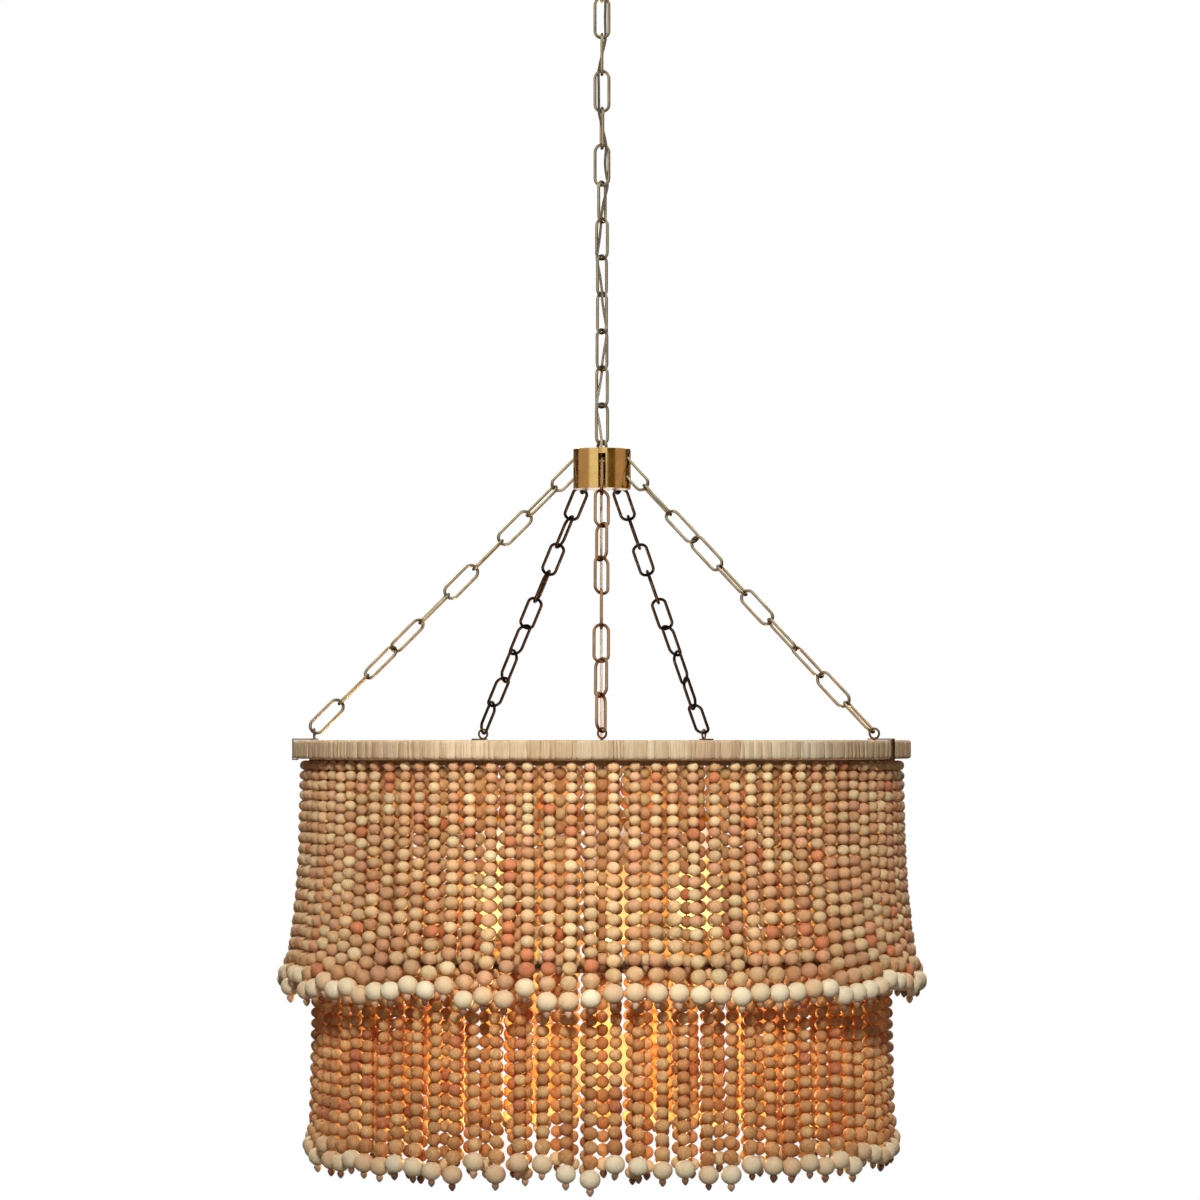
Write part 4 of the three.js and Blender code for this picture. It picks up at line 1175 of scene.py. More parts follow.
def make_hub_top():
    """The top plate with the ring that the lower chains hang on, and the cord's grommet."""
    bottom = HUB_TOP - HUB_PLATE
    pile = Pile().add(bar(HUB_RADIUS - HUB_WALL - SEAT_GAP, HUB_TOP, bottom, HUB_SIDES, HUB_PLATE_EDGE))
    pile.add(shifted(wire_ring(HUB_RING_RADIUS, HUB_RING_WIRE, HUB_RING_STEPS), z=HUB_RING_HEIGHT))
    lug = bar(HUB_LUG_RADIUS, bottom + HUB_LUG_SINK, HUB_RING_HEIGHT, HUB_LUG_SIDES)
    for azimuth in LUG_AZIMUTHS:
        pile.add(moved(shifted(lug, x=HUB_RING_RADIUS), azimuth_turn(azimuth)))
    grommet = wire_ring(CORD_RADIUS + GROMMET_GAP, GROMMET_WIRE, GROMMET_STEPS, GROMMET_SIDES)
    pile.add(shifted(grommet, *beside_axis(CORD_HOLE_OFFSET, cord_angle(), HUB_TOP + GROMMET_RISE)))
    return placed(pile.build("hub_plate", [BRASS], ROUND_SHARP), "fixture", "brass", "hub_top")


def make_hub_loop():
    """The bow that the last link of the main chain holds, with its two nuts under the top plate."""
    nut_top = HUB_TOP - HUB_PLATE - SEAT_GAP
    foot = nut_top - ARCH_NUT_HEIGHT - ARCH_TAIL
    centre = ARCH_INSIDE + LINK_WIRE / 2 - ARCH_RADIUS
    path = [(ARCH_RADIUS, 0, foot + (centre - foot) * step / ARCH_LEG_STEPS)
            for step in range(ARCH_LEG_STEPS)]
    for step in range(ARCH_STEPS + 1):
        angle = math.pi * step / ARCH_STEPS
        path.append((ARCH_RADIUS * math.cos(angle), 0, centre + ARCH_RADIUS * math.sin(angle)))
    path += [(-ARCH_RADIUS, 0, centre + (foot - centre) * step / ARCH_LEG_STEPS)
             for step in range(1, ARCH_LEG_STEPS + 1)]
    pile = Pile().add(tube(path, LINK_WIRE / 2, ARCH_SIDES))
    nut = bar(ARCH_NUT_RADIUS, nut_top, nut_top - ARCH_NUT_HEIGHT, HEX_SIDES)
    for side in (1, -1):
        pile.add(shifted(nut, x=side * ARCH_RADIUS))
    piece = pile.build("hub_bow", [PALE_GOLD], ARCH_SHARP)
    piece.data.transform(Matrix.Rotation(math.radians(ARCH_TURN), 4, "Z"))
    return placed(piece, "fixture", "brass", "hub_loop")


# Hoop band

STRIP_TONES = [
    tone(240, 222, 188), tone(234, 210, 172), tone(228, 202, 164), tone(222, 194, 160),
    tone(244, 230, 202), tone(226, 194, 158), tone(214, 184, 148), tone(196, 164, 128),
]
STRIP_WIDTHS = [3.4, 5, 6.5, 8, 10, 12, 15, 18]
STRIP_DRIFT = 0.55  # how much of a strip's tone comes from its neighbour
STRIP_SLANT = 0.05  # to either side
STRIP_WIDTH_SHARES = (0.85, 1.15)
STRIP_TONE_SHARES = (0.86, 1.08)
STRIP_LIFT_SHARES = (0.4, 1.0)
STRIP_LANES = [(0.0, 0.0), (0.12, 0.75), (0.5, 1.0), (0.88, 0.75), (1.0, 0.0)]  # across, and how domed
STRIP_GRAIN_STEPS = (37.0, 11.0)  # from one strip's grain to the next one's
LAST_STRIP_WIDTH = 4  # at least
BAND_SEED = 41
BAND_PALENESS = 0.66  # of its front, and the painted light that makes its left and right paler, where the key fades towards the sides
BAND_LEFT_PAINTED_LIGHT = 0.56
BAND_RIGHT_PAINTED_LIGHT = 0.34
STRIP_PALEST = 0.9


def hoop_outline(inset):
    """The hoop's section with rounded corners, as (radius, height) points from the top outer corner."""
    top, bottom = HOOP_TOP - inset, HOOP_TOP - HOOP_HEIGHT + inset
    outer, inner = HOOP_RADIUS - inset, HOOP_RADIUS - HOOP_WIDTH + inset
    turn = HOOP_CORNER - inset / 2
    centres = [(outer - turn, top - turn, 90), (outer - turn, bottom + turn, 0),
               (inner + turn, bottom + turn, -90), (inner + turn, top - turn, 180)]
    points = []
    for radius, height, start in centres:
        for step in range(HOOP_CORNER_STEPS + 1):
            angle = math.radians(start - 90 * step / HOOP_CORNER_STEPS)
            points.append((radius + turn * math.cos(angle), height + turn * math.sin(angle)))
    return points


def with_straights(outline, spacing):
    """The outline with more points along its straight sides."""
    out = []
    for index, here in enumerate(outline):
        after = outline[(index + 1) % len(outline)]
        length = math.dist(here, after)
        pieces = max(1, round(length / spacing))
        for step in range(pieces):
            share = step / pieces
            out.append((here[0] + (after[0] - here[0]) * share, here[1] + (after[1] - here[1]) * share))
    return out


def strip_shape(edges, outline, under, lift, number):
    """One strip wound round the hoop between two slanting edges, with a domed face."""
    grain_across, grain_deep = [number * step for step in STRIP_GRAIN_STEPS]
    points, grains = [], []
    along = 0.0
    for index, (radius, height) in enumerate(outline):
        if index:
            along += math.dist(outline[index - 1], outline[index])
        low_radius, low_height = under[index]
        start, end = [place + slant * (height - HOOP_TOP) for place, slant in edges]
        for share, dome in STRIP_LANES:
            angle = start + (end - start) * share
            mixing = min(1.0, lift * dome + (1 - STRIP_DOME) * (dome > 0))
            r = low_radius + (radius - low_radius) * mixing
            z = low_height + (height - low_height) * mixing
            points.append((r * math.cos(angle), r * math.sin(angle), z))
            grains.append(((end - start) * share * HOOP_RADIUS + grain_across, along, grain_deep))
    return (points, quads(len(outline), len(STRIP_LANES), closed=True)), grains


def strip_edges(dice):
    """Where the strips start along the hoop's outer face, and how each edge slants."""
    length = 2 * math.pi * HOOP_RADIUS
    edges, reach = [], 0.0
    while reach < length - LAST_STRIP_WIDTH:
        edges.append((reach, dice.uniform(-STRIP_SLANT, STRIP_SLANT)))
        reach += dice.choice(STRIP_WIDTHS) * dice.uniform(*STRIP_WIDTH_SHARES)
    return [*edges, (length, edges[0][1])]


def make_band():
    dice = random.Random(BAND_SEED)
    outline = with_straights(hoop_outline(0), HOOP_SPACING)
    middle_radius, middle_height = HOOP_RADIUS - HOOP_WIDTH / 2, HOOP_TOP - HOOP_HEIGHT / 2
    under = [(r - STRIP_THICKNESS * (1 if r > middle_radius else -1),
              z - STRIP_THICKNESS * (1 if z > middle_height else -1)) for r, z in outline]
    edges = strip_edges(dice)
    pile = Pile()
    half_seam = STRIP_SEAM / 2 / HOOP_RADIUS
    shade = STRIP_TONES[0]
    for number, ((place, slant), (after_place, after_slant)) in enumerate(zip(edges, edges[1:])):
        here = (place / HOOP_RADIUS + half_seam, slant / HOOP_RADIUS)
        after = (after_place / HOOP_RADIUS - half_seam, after_slant / HOOP_RADIUS)
        side = math.cos(place / HOOP_RADIUS)
        # painted light: strips on the left and right are made paler, the left more, where the key spot fades
        paleness_and_painted_light = BAND_PALENESS + (BAND_LEFT_PAINTED_LIGHT * max(-side, 0) + BAND_RIGHT_PAINTED_LIGHT * max(side, 0))
        fresh = dice.choice(STRIP_TONES) * dice.uniform(*STRIP_TONE_SHARES) * paleness_and_painted_light
        shade = np.minimum(shade * STRIP_DRIFT + fresh * (1 - STRIP_DRIFT), STRIP_PALEST)
        lift = STRIP_DOME * dice.uniform(*STRIP_LIFT_SHARES)
        shape, grains = strip_shape((here, after), outline, under, lift, number)
        pile.add(shape, tint=shade, grain=grains)
    piece = tidied(pile.build("band_strips", [FIBRE], STRIP_SHARP))
    placed(piece, "fixture", "fibre", "hoop_wrap")
    core = turned(hoop_outline(STRIP_THICKNESS + PADDING_GAP), HOOP_SIDES, loop=True)
    placed(tidied(single("band_padding", core, PADDING)), "fixture", "fibre", "hoop_wrap")


# Steel frame

def make_frame():
    spokes = Pile()
    low = (BOSS_RADIUS / 2, -SPOKE_SIDE / 2, SPOKE_TOP - SPOKE_SIDE)
    spoke = block(low, (SPOKE_REACH, SPOKE_SIDE / 2, SPOKE_TOP))
    rod = bar(ROD_RADIUS, SPOKE_TOP - SPOKE_SIDE / 2, LOWER_RING_TOP + SEAT_GAP, ROD_SIDES)
    for azimuth in SPOKE_AZIMUTHS:
        turn = azimuth_turn(azimuth)
        spokes.add(moved(spoke, turn)).add(moved(shifted(rod, x=ROD_RING), turn))
    bore = STEM_RADIUS + SEAT_GAP
    spokes.add(square_ring(BOSS_RADIUS, bore, BOSS_TOP, BOSS_TOP - BOSS_HEIGHT, BOSS_SIDES))
    piece = softened(tidied(spokes.build("spokes_and_rods", [FRAME_PAINT], FLAT_SHARP)), FRAME_EDGE)
    placed(piece, "fixture", "frame_paint", "frame_spokes")
    ring = square_ring(LOWER_RING_RADIUS, LOWER_RING_RADIUS - LOWER_RING_WIDTH, LOWER_RING_TOP,
                       LOWER_RING_TOP - LOWER_RING_HEIGHT, LOWER_RING_SIDES)
    piece = tidied(single("lower_ring", ring, FRAME_PAINT, ROUND_SHARP))
    placed(piece, "fixture", "frame_paint", "frame_lower_ring")
    dress("frame_rim", FRAME_PAINT)


def dress(node, material):
    """Gives a CAD node that stays as it is a finished material."""
    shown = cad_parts[node]
    shown.data.materials.clear()
    shown.data.materials.append(material)


# Lamp frame, sockets and bulbs

def make_lamp_frame():
    flange_bottom = BOSS_TOP + SEAT_GAP
    flange_top, foot_top = flange_bottom + FLANGE_HEIGHT, STEM_FOOT + STEM_FOOT_HEIGHT
    pile = Pile().add(lathe([
        (0, flange_top), (FLANGE_RADIUS, flange_top), (FLANGE_RADIUS, flange_bottom),
        (STEM_RADIUS, flange_bottom), (STEM_RADIUS, foot_top), (ARM_PAD_RADIUS, foot_top),
        (ARM_PAD_RADIUS, STEM_FOOT), (0, STEM_FOOT),
    ], STEM_SIDES))
    arm = block((0, -ARM_SIDE / 2, ARM_TOP - ARM_SIDE), (ARM_LENGTH, ARM_SIDE / 2, ARM_TOP))
    pad = bar(ARM_PAD_RADIUS, ARM_TOP + ARM_PAD_RISE, ARM_TOP - ARM_SIDE, ARM_PAD_SIDES, ARM_PAD_EDGE)
    for azimuth in ARM_AZIMUTHS:
        turn = azimuth_turn(azimuth)
        pile.add(moved(arm, turn)).add(moved(shifted(pad, x=ARM_LENGTH), turn))
    piece = softened(pile.build("stem_and_arms", [BRASS], FLAT_SHARP), ARM_EDGE)
    return placed(piece, "fixture", "brass", "lamp_frame")


def lamp_places():
    """Each lamp's distance from the axis, its azimuth and the height that its socket hangs from."""
    for azimuth in ARM_AZIMUTHS:
        yield ARM_LENGTH, azimuth, ARM_TOP - ARM_SIDE
    yield 0, 0, STEM_FOOT


def make_socket(number, out, azimuth, height):
    top = height - SEAT_GAP
    bottom, floor = top - SOCKET_HEIGHT, top - SOCKET_FLOOR
    inwards, down = SOCKET_SHOULDER
    cup = lathe([
        (0, top), (SOCKET_RADIUS - inwards, top), (SOCKET_RADIUS, top - down), (SOCKET_RADIUS, bottom),
        (SOCKET_BORE, bottom), (SOCKET_BORE, floor), (0, floor),
    ], SOCKET_SIDES, SOCKET_EDGE)
    shape = moved(shifted(cup, x=out), azimuth_turn(azimuth))
    piece = single(f"lamp_holder_{number}", shape, CERAMIC, SOCKET_SHARP)
    return placed(piece, "fixture", "socket", f"socket_{number}")


def bulb_shapes(height):
    """The screw cap and the glass of a bulb under a socket at a height, and the middle of its globe."""
    top = height - 2 * SEAT_GAP - SOCKET_FLOOR
    neck = height - 2 * SEAT_GAP - SOCKET_HEIGHT
    centre = height - SEAT_GAP - BULB_DROP
    foot = neck + BULB_CAP_FOOT
    cap = [(0, top), (BULB_CAP_RADIUS - BULB_CAP_TIP, top)]
    root = BULB_CAP_RADIUS - BULB_THREAD_DEPTH
    for turn in range(int((top - neck) / BULB_THREAD_PITCH)):
        start = top - BULB_THREAD_START - turn * BULB_THREAD_PITCH
        cap += [(root, start), (BULB_CAP_RADIUS, start - BULB_THREAD_PITCH / 2)]
    cap += [(BULB_CAP_RADIUS - BULB_CAP_FOOT, foot), (0, foot)]
    glass = [(0, foot), *[(BULB_CAP_RADIUS + out, neck + up) for out, up in BULB_NECK]]
    for degrees in BULB_ARC:
        angle = math.radians(degrees)
        glass.append((BULB_RADIUS * math.cos(angle), centre + BULB_RADIUS * math.sin(angle)))
    glass.append((0, centre - BULB_RADIUS))
    return turned(cap, BULB_CAP_SIDES), turned(glass, BULB_SIDES), centre


def make_bulb(number, out, azimuth, height):
    cap, glass, centre = bulb_shapes(height)
    turn = azimuth_turn(azimuth) @ Matrix.Translation((out, 0, 0))
    shades = [(point[2] - centre - BULB_SHADE_START) / BULB_SHADE_LENGTH for point in glass[0]]
    tints = [[min(1.0, max(0.0, shade))] * 3 for shade in shades]
    pile = Pile().add(moved(cap, turn), slot=1).add(moved(glass, turn), tint=tints)
    piece = pile.build(f"lit_bulb_{number}", [BULB, STEEL], ROUND_SHARP)
    piece.visible_shadow = False
    placed(piece, f"lamp_{number}", "bulb", f"bulb_{number}")
    light = bpy.data.lights.new(f"bulb_light_{number}", "POINT")
    light.energy = LOWER_BULB_POWER if out == 0 else UPPER_BULB_POWER
    light.color = BULB_TINT
    light.shadow_soft_size = BULB_RADIUS * METRES
    lamp = added(light)
    lamp.location = (turn @ Vector((0, 0, centre))) * METRES
    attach(lamp, f"lamp_{number}")


# Bead strands

BEAD_TONES = {
    "upper": [tone(226, 188, 140), tone(230, 199, 150), tone(222, 175, 132), tone(237, 215, 168),
              tone(220, 167, 130), tone(209, 157, 112), tone(234, 204, 156)],
    "lower": [tone(238, 184, 124), tone(242, 190, 130), tone(226, 166, 108), tone(244, 200, 142),
              tone(208, 144, 92), tone(242, 194, 136), tone(230, 168, 112)],
}
RED_TONE = tone(218, 142, 100)
BALL_TONES = [tone(252, 240, 208), tone(248, 232, 196), tone(244, 222, 184), tone(238, 206, 166)]
KNOT_TONES = [tone(118, 82, 58), tone(150, 114, 88), tone(180, 146, 118), tone(218, 180, 148)]
RED_SHARE = 0.05  # of the beads
BEAD_SHADES = (0.86, 1.1)
STRAND_SHADES = (0.93, 1.05)
BALL_SHADES = (0.95, 1.02)
BEAD_WIDTH_SHARES = (0.93, 1.05)
LAST_BEAD_WIDTH_SHARES = (0.95, 1.03)
BALL_WIDTH_SHARES = (0.97, 1.02)
KNOT_WIDTHS = (6, 7.4)
KNOT_TUCK = 1.4  # how far a knot is drawn into its ball
KNOT_TAPER = 0.4  # how much a knot widens towards its ball
BEAD_HOLE = 14  # degrees from a bead's pole to the edge of its hole
BALL_HOLE = 10
BEAD_TILT = 0.06
BEAD_REACH = 2  # above and below a bead, where its string's direction is taken
GRAIN_TILT = 0.6
GRAIN_SPREAD = 400
SEED_STEP = 100  # between the seeds of neighbouring lengths of a tier
TAPE_SLOT, THREAD_SLOT, BALL_SLOT = 1, 2, 3


def bead_template(sides, rows, hole):
    """A bead of unit radius about the Z axis, with a small flat at each hole."""
    points = []
    for row in range(rows):
        angle = math.radians(hole + (180 - 2 * hole) * row / (rows - 1))
        radius = math.sin(angle)
        for side in range(sides):
            turn = 2 * math.pi * side / sides
            points.append((radius * math.cos(turn), radius * math.sin(turn), math.cos(angle)))
    first, last = caps(rows, sides, flipped=True)
    return np.array(points), [first, *quads(rows, sides, flipped=True), last]


BEAD = bead_template(BEAD_SIDES, BEAD_ROWS, BEAD_HOLE)
BALL = bead_template(BALL_SIDES, BALL_ROWS, BALL_HOLE)
KNOT = (BEAD[0] * [[1 + KNOT_TAPER * z, 1 + KNOT_TAPER * z, 1] for z in BEAD[0][:, 2]], BEAD[1])


def line_at(line, height):
    """The radius of a strand's line at a height, smoothed between its points."""
    heights = [point[0] for point in line]
    radii = [point[1] for point in line]
    if height >= heights[0]:
        return radii[0]
    if height <= heights[-1]:
        return radii[-1]
    index = next(i for i in range(len(heights) - 1) if heights[i + 1] <= height)
    share = (height - heights[index]) / (heights[index + 1] - heights[index])
    before = radii[max(index - 1, 0)]
    after = radii[min(index + 2, len(radii) - 1)]
    here, there = radii[index], radii[index + 1]
    slope_here, slope_there = (there - before) / 2, (after - here) / 2
    square, cube = share ** 2, share ** 3
    return ((2 * cube - 3 * square + 1) * here + (cube - 2 * square + share) * slope_here
            + (3 * square - 2 * cube) * there + (cube - square) * slope_there)


class Strand:
    """One string of beads that hangs at an angle, and adds its beads to a pile."""

    def __init__(self, pile, dice, row, angle):
        self.pile, self.dice, self.line, self.angle = pile, dice, row["line"], angle
        top_jitter, end_jitter = row["jitter"]
        self.top_shift = dice.uniform(-top_jitter, top_jitter)
        self.end_shift = dice.uniform(-end_jitter, end_jitter)

    def place(self, height):
        top, end = self.line[0][0], self.line[-1][0]
        share = min(1.0, max(0.0, (top - height) / (top - end)))
        radius = line_at(self.line, height)
        angle = self.angle + (self.top_shift * (1 - share) + self.end_shift * share) / radius
        return Vector((radius * math.cos(angle), radius * math.sin(angle), HOOP_TOP + height))

    def bead(self, height, width, thickness, tint, template=BEAD, slot=0):
        unit, faces = template
        dice = self.dice
        axis = (self.place(height + BEAD_REACH) - self.place(height - BEAD_REACH)).normalized()
        tilt = Vector((dice.gauss(0, BEAD_TILT), dice.gauss(0, BEAD_TILT), 0))
        spin = Matrix.Rotation(dice.uniform(0, 2 * math.pi), 3, "Z")
        turn = (axis + tilt).to_track_quat("Z", "Y").to_matrix() @ spin
        shape = unit * np.array([width / 2, width / 2, thickness / 2])
        places = shape @ np.array(turn).T + np.array(self.place(height))
        grain_turn = (Matrix.Rotation(dice.uniform(0, 2 * math.pi), 3, "Z")
                      @ Matrix.Rotation(dice.gauss(0, GRAIN_TILT), 3, "X"))
        shift = np.array([dice.uniform(0, GRAIN_SPREAD) for _ in range(3)])
        self.pile.add((places, faces), slot, tint, shape @ np.array(grain_turn).T + shift)

    def thread(self, top, bottom):
        path = [self.place(top + (bottom - top) * step / THREAD_STEPS) for step in range(THREAD_STEPS + 1)]
        self.pile.add(tube(path, THREAD_RADIUS, THREAD_SIDES), slot=THREAD_SLOT)


def bead_tone(dice, name, shade):
    """A tone between two of the tier's tones, or now and then the red one."""
    one, two = [dice.choice(BEAD_TONES[name]) for _ in range(2)]
    mixed = one + (two - one) * dice.random()
    if dice.random() < RED_SHARE:
        mixed = RED_TONE
    return mixed * dice.uniform(*BEAD_SHADES) * shade


def bead_widths(row, length, dice):
    """The widths of a string's beads, which change evenly down the string but for the last."""
    first, last, neck = row["beads"]
    count = round(length / (row["flatness"] * (first + last) / 2))
    widths = []
    for index in range(count - 1):
        share = index / (count - 1)
        widths.append((first + (last - first) * share) * dice.uniform(*BEAD_WIDTH_SHARES))
    return [*widths, neck * dice.uniform(*LAST_BEAD_WIDTH_SHARES)]


def hang_strand(pile, dice, name, row, angle, tape_bottom):
    """A string with its beads, which are drawn together to fill it, its ball and its knot."""
    ball_height = row["ball_height"] + dice.uniform(-1, 1) * row["spread"]
    ball = row["ball"] * dice.uniform(*BALL_WIDTH_SHARES)
    strand = Strand(pile, dice, row, angle)
    reach = row["line"][0][0]
    length = reach - (ball_height + ball * BALL_FLATNESS / 2)
    widths = bead_widths(row, length, dice)
    squeeze = length / sum(widths)
    # The row's shade is painted shade on the inner rows; the strand's own spread is real tone.
    shade = row["shade"] * dice.uniform(*STRAND_SHADES)
    for width in widths:
        thickness = width * squeeze
        strand.bead(reach - thickness / 2, width, thickness, bead_tone(dice, name, shade))
        reach -= thickness
    # The ball takes its row's painted shade too.
    ball_tone = dice.choice(BALL_TONES) * dice.uniform(*BALL_SHADES) * row["shade"]
    strand.bead(ball_height, ball, ball * BALL_FLATNESS, ball_tone, BALL, BALL_SLOT)
    knot = dice.uniform(*KNOT_WIDTHS)
    knot_height = ball_height - (ball * BALL_FLATNESS + knot * KNOT_LENGTH) / 2 + KNOT_TUCK
    strand.bead(knot_height, knot, knot * KNOT_LENGTH, dice.choice(KNOT_TONES), KNOT)
    strand.thread(tape_bottom + THREAD_TUCK, knot_height)


def tape_shape(tier):
    """An eighth of the tape that the strings are tied to, about +X."""
    outer, inner, top, bottom = tier["tape"]
    half = math.pi / len(SECTORS) - SEAT_GAP / 2 / inner
    section = rounded([(inner, HOOP_TOP + top), (outer, HOOP_TOP + top), (outer, HOOP_TOP + bottom),
                       (inner, HOOP_TOP + bottom)], EDGE_RADIUS, loop=True)
    points, grains = [], []
    for step in range(TAPE_STEPS + 1):
        angle = -half + 2 * half * step / TAPE_STEPS
        for radius, height in section:
            points.append((radius * math.cos(angle), radius * math.sin(angle), height))
            grains.append((radius * angle, height, radius))
    size = (TAPE_STEPS + 1, len(section))
    return (points, quads(*size, flipped=True) + caps(*size, flipped=True)), grains


def make_fringe(name, index, sector):
    tier = TIERS[name]
    dice = random.Random(SEED_STEP * index + tier["seed"])
    shape, grains = tape_shape(tier)
    pile = Pile().add(shape, slot=TAPE_SLOT, grain=grains)
    for row in tier["rows"]:
        step = 2 * math.pi / len(SECTORS) / row["count"]
        for place in range(row["count"]):
            angle = (place - (row["count"] - 1) / 2) * step
            hang_strand(pile, dice, name, row, angle, tier["tape"][3])
    piece = pile.build(f"{name}_strands_{sector}", [WOOD[name], TAPE, THREAD, BALL_WOOD])
    piece.data.transform(azimuth_turn(360 * index / len(SECTORS)))
    return placed(piece, f"{name}_{sector}", f"bead_{name}", f"{name}_fringe_{sector}")


# Stage, lights and camera

FLOOR_TONES = [(0.92, 0.92, 0.91, 1), (0.87, 0.87, 0.86, 1)]


def make_floor():
    half = FLOOR_SIZE / 2
    corners = [(x, y, FLOOR_HEIGHT) for x, y in ((-half, -half), (half, -half), (half, half), (-half, half))]
    floor = single("floor", (corners, [(0, 1, 2, 3)]), floor_look())
    floor.visible_diffuse = False


def floor_look():
    """Pale matt floor, which is not seen from below."""
    look = Look("pale_floor", roughness=0.9, specular_ior_level=0.1)
    cloud = look.noise(look.place(), scale=3, detail=4)
    look.set("Base Color", look.mix(look.ramp(cloud, 0.3, 0.8), *FLOOR_TONES))
    clear = look.node("BsdfTransparent")
    below = look.node("NewGeometry", output="Backfacing")
    shown = look.node("MixShader", {0: below, 1: look.shader.outputs[0], 2: clear})
    look.put(look.tree.nodes["Material Output"].inputs[0], shown)
    return look.material


# Cards that only reflections see: azimuths from and to, and their light
CARDS = {
    "left_dark": (-160, -108, (0.05, 0.03, 0.018)),
    "left_tan": (-108, -52, (0.56, 0.42, 0.36)),
    "lens_dark": (-11, -5, (0.2, 0.15, 0.05)),
    "front_dark": (20, 54, (0.14, 0.09, 0.02)),
    "right_tan": (54, 106, (0.58, 0.42, 0.36)),
    "right_dark": (106, 160, (0.05, 0.03, 0.018)),
}
CARD_REACH = 2600
CARD_TOP = 900
CARD_BOTTOM = -2200
CARD_STEP = 6  # degrees
CARD_DIMMEST = 0.85  # share of its light
CARD_UNSEEN_BY = ("camera", "diffuse", "shadow", "transmission", "volume_scatter")


def card_look(name, light):
    """A plain lit card with faint unevenness, which lights nothing by itself."""
    look = Look(name, roughness=1.0, specular_ior_level=0.0)
    cloud = look.noise(look.place(), scale=2)
    dim = [CARD_DIMMEST * part for part in light]
    look.set("Base Color", BLACK)
    look.set("Emission Color", look.mix(look.ramp(cloud, 0.3, 0.7), (*light, 1), (*dim, 1)))
    look.set("Emission Strength", 1.0)
    look.material.cycles.emission_sampling = "NONE"
    return look.material


def make_cards():
    for name, (start, end, light) in CARDS.items():
        steps = round((end - start) / CARD_STEP)
        points = []
        for step in range(steps + 1):
            angle = math.radians(start + (end - start) * step / steps)
            points += [(CARD_REACH * math.sin(angle), -CARD_REACH * math.cos(angle), height)
                       for height in (CARD_BOTTOM, CARD_TOP)]
        faces = [(2 * step, 2 * step + 1, 2 * step + 3, 2 * step + 2) for step in range(steps)]
        card = single(f"card_{name}", (points, faces), card_look(f"card_{name}", light))
        for ray in CARD_UNSEEN_BY:
            setattr(card, f"visible_{ray}", False)


def make_world():
    """White to the camera and in reflections, and a plain soft level for all else."""
    world = bpy.data.worlds.new("studio")
    bpy.context.scene.world = world
    world.use_nodes = True
    sky = Nodes(world.node_tree)
    sky.tree.nodes.clear()
    rays = sky.tree.nodes.new("ShaderNodeLightPath").outputs
    direct = sky.node("Math", {0: rays["Is Camera Ray"], 1: rays["Is Glossy Ray"]}, operation="ADD")
    seen = sky.node("Math", {0: direct, 1: rays["Is Transmission Ray"]}, operation="ADD", use_clamp=True)
    plain = sky.node("Background", {"Color": WORLD_TINT, "Strength": WORLD_LEVEL})
    white = sky.node("Background", {"Color": WHITE})
    shown = sky.node("MixShader", {0: seen, 1: plain, 2: white})
    sky.put(sky.tree.nodes.new("ShaderNodeOutputWorld").inputs[0], shown)


def put_light(light, place, aim):
    lamp = added(light)
    lamp.location = Vector(place) * METRES
    lamp.rotation_euler = (Vector(aim) - Vector(place)).to_track_quat("-Z", "Y").to_euler()
    return lamp


def make_key(number, aim):
    """A soft spot from the front and above, which fades towards the sides. Metal doesn't mirror it."""
    light = bpy.data.lights.new(f"key_{number}", "SPOT")
    light.energy, light.color = KEY_POWER, KEY_TINT
    light.shadow_soft_size = KEY_RADIUS * METRES
    light.spot_size = 2 * math.atan(KEY_REACH / (Vector(aim) - Vector(KEY_PLACE)).length)
    light.spot_blend = 1.0
    put_light(light, KEY_PLACE, aim).visible_glossy = False


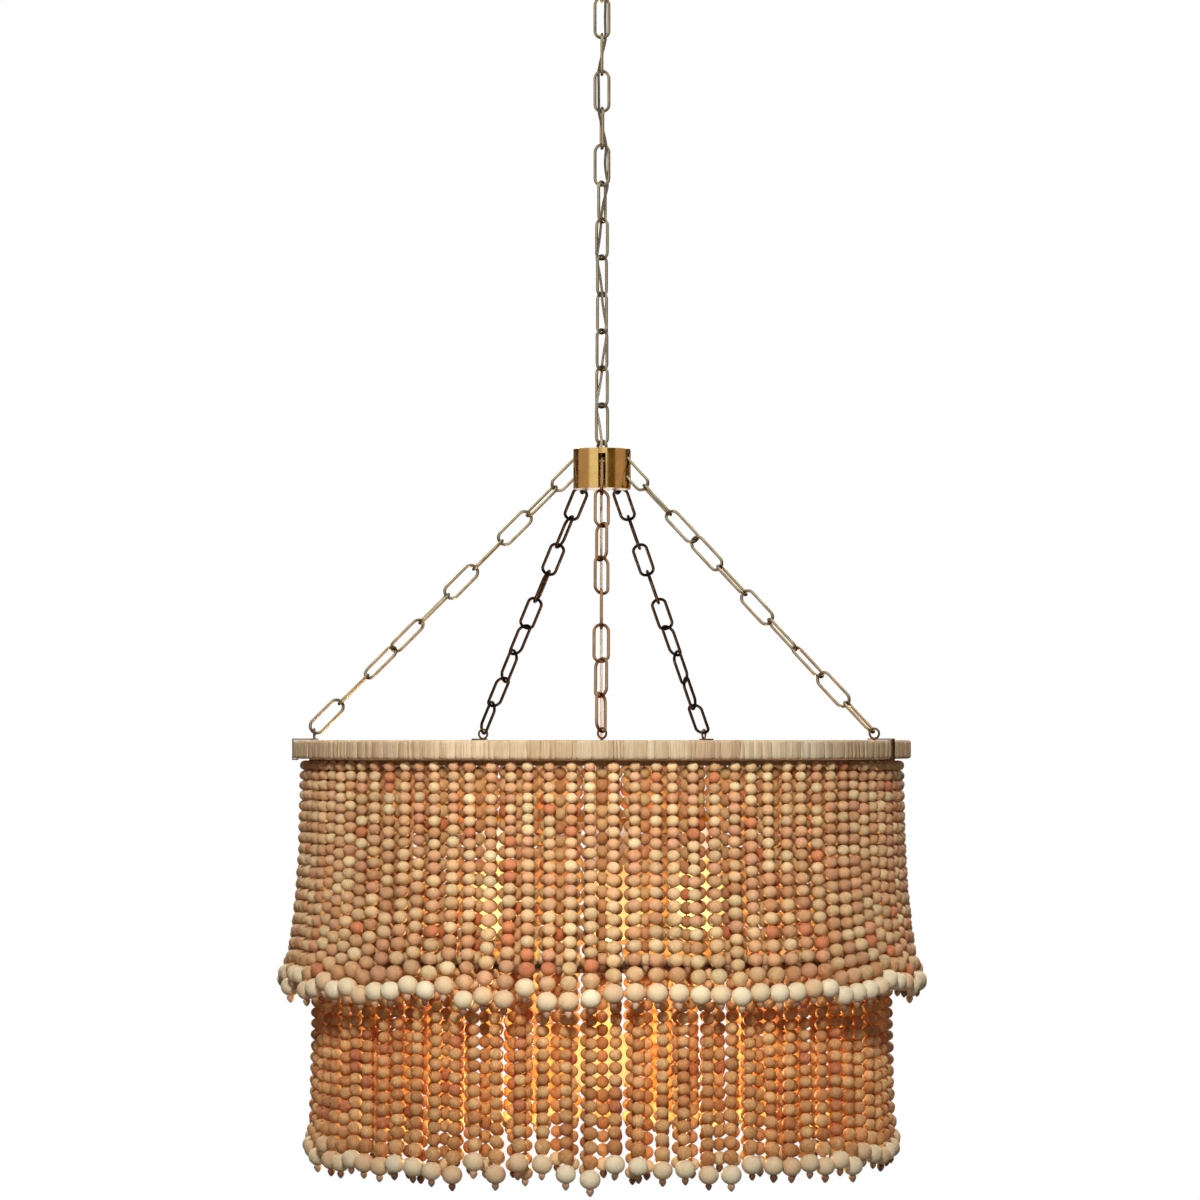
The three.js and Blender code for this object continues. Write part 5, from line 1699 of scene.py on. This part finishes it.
def make_panel(name, place, power, aim=(0, 0, HOOP_TOP), size=PANEL_SIZE, tint=PANEL_TINT):
    light = bpy.data.lights.new(name, "AREA")
    light.energy, light.size, light.color = power, size * METRES, tint
    return put_light(light, place, aim)


def make_floor_light():
    """A panel under the lamp that lights only the floor."""
    below = (0, 0, FLOOR_HEIGHT)
    panel = make_panel("floor_light", (0, 0, FLOOR_LIGHT_HEIGHT), FLOOR_POWER, below, FLOOR_LIGHT_SIZE)
    panel.visible_camera = False
    panel.visible_glossy = False


def make_camera():
    data = bpy.data.cameras.new("camera")
    data.sensor_width, data.lens = SENSOR_WIDTH, LENS
    camera = added(data)
    camera.location = Vector((CAMERA_ACROSS, -CAMERA_DISTANCE, HOOP_TOP)) * METRES
    pitch = math.atan(HORIZON_SHARE * SENSOR_WIDTH / LENS)
    camera.rotation_euler = (math.pi / 2 + pitch, 0, 0)
    bpy.context.scene.camera = camera


make_camera()
make_world()
make_floor()
make_cards()
for number, aim in enumerate(KEY_AIMS, 1):
    make_key(number, aim)
make_panel("fill", FILL_PLACE, FILL_POWER)
for number, place in enumerate(BACK_PLACES, 1):
    make_panel(f"back_{number}", place, BACK_POWER, tint=BACK_TINT)
make_floor_light()
bpy.context.scene.view_settings.view_transform = "Standard"

cord_length = make_supply_cord() + make_lamp_cord()
make_strap()
make_canopy()
make_ring_nut()
make_loop()
make_main_chain()
for side, material, slot in [
    ("left", PALE_GOLD, "pale_gold"), ("right", PALE_GOLD, "pale_gold"),
    ("back_left", BRONZE, "bronze"), ("back_right", BRONZE, "bronze"),
    ("front", ANTIQUE_GOLD, "antique_gold"),
]:
    make_lower_chain(side, material, slot)
    make_hanger(side)
make_hub_shell()
make_hub_top()
make_hub_loop()
make_band()
make_frame()
make_lamp_frame()
for number, (out, azimuth, height) in enumerate(lamp_places(), 1):
    make_socket(number, out, azimuth, height)
    make_bulb(number, out, azimuth, height)
for tier_name in TIERS:
    for index, sector in enumerate(SECTORS):
        make_fringe(tier_name, index, sector)

print("cord length, mm:", round(cord_length, 1))
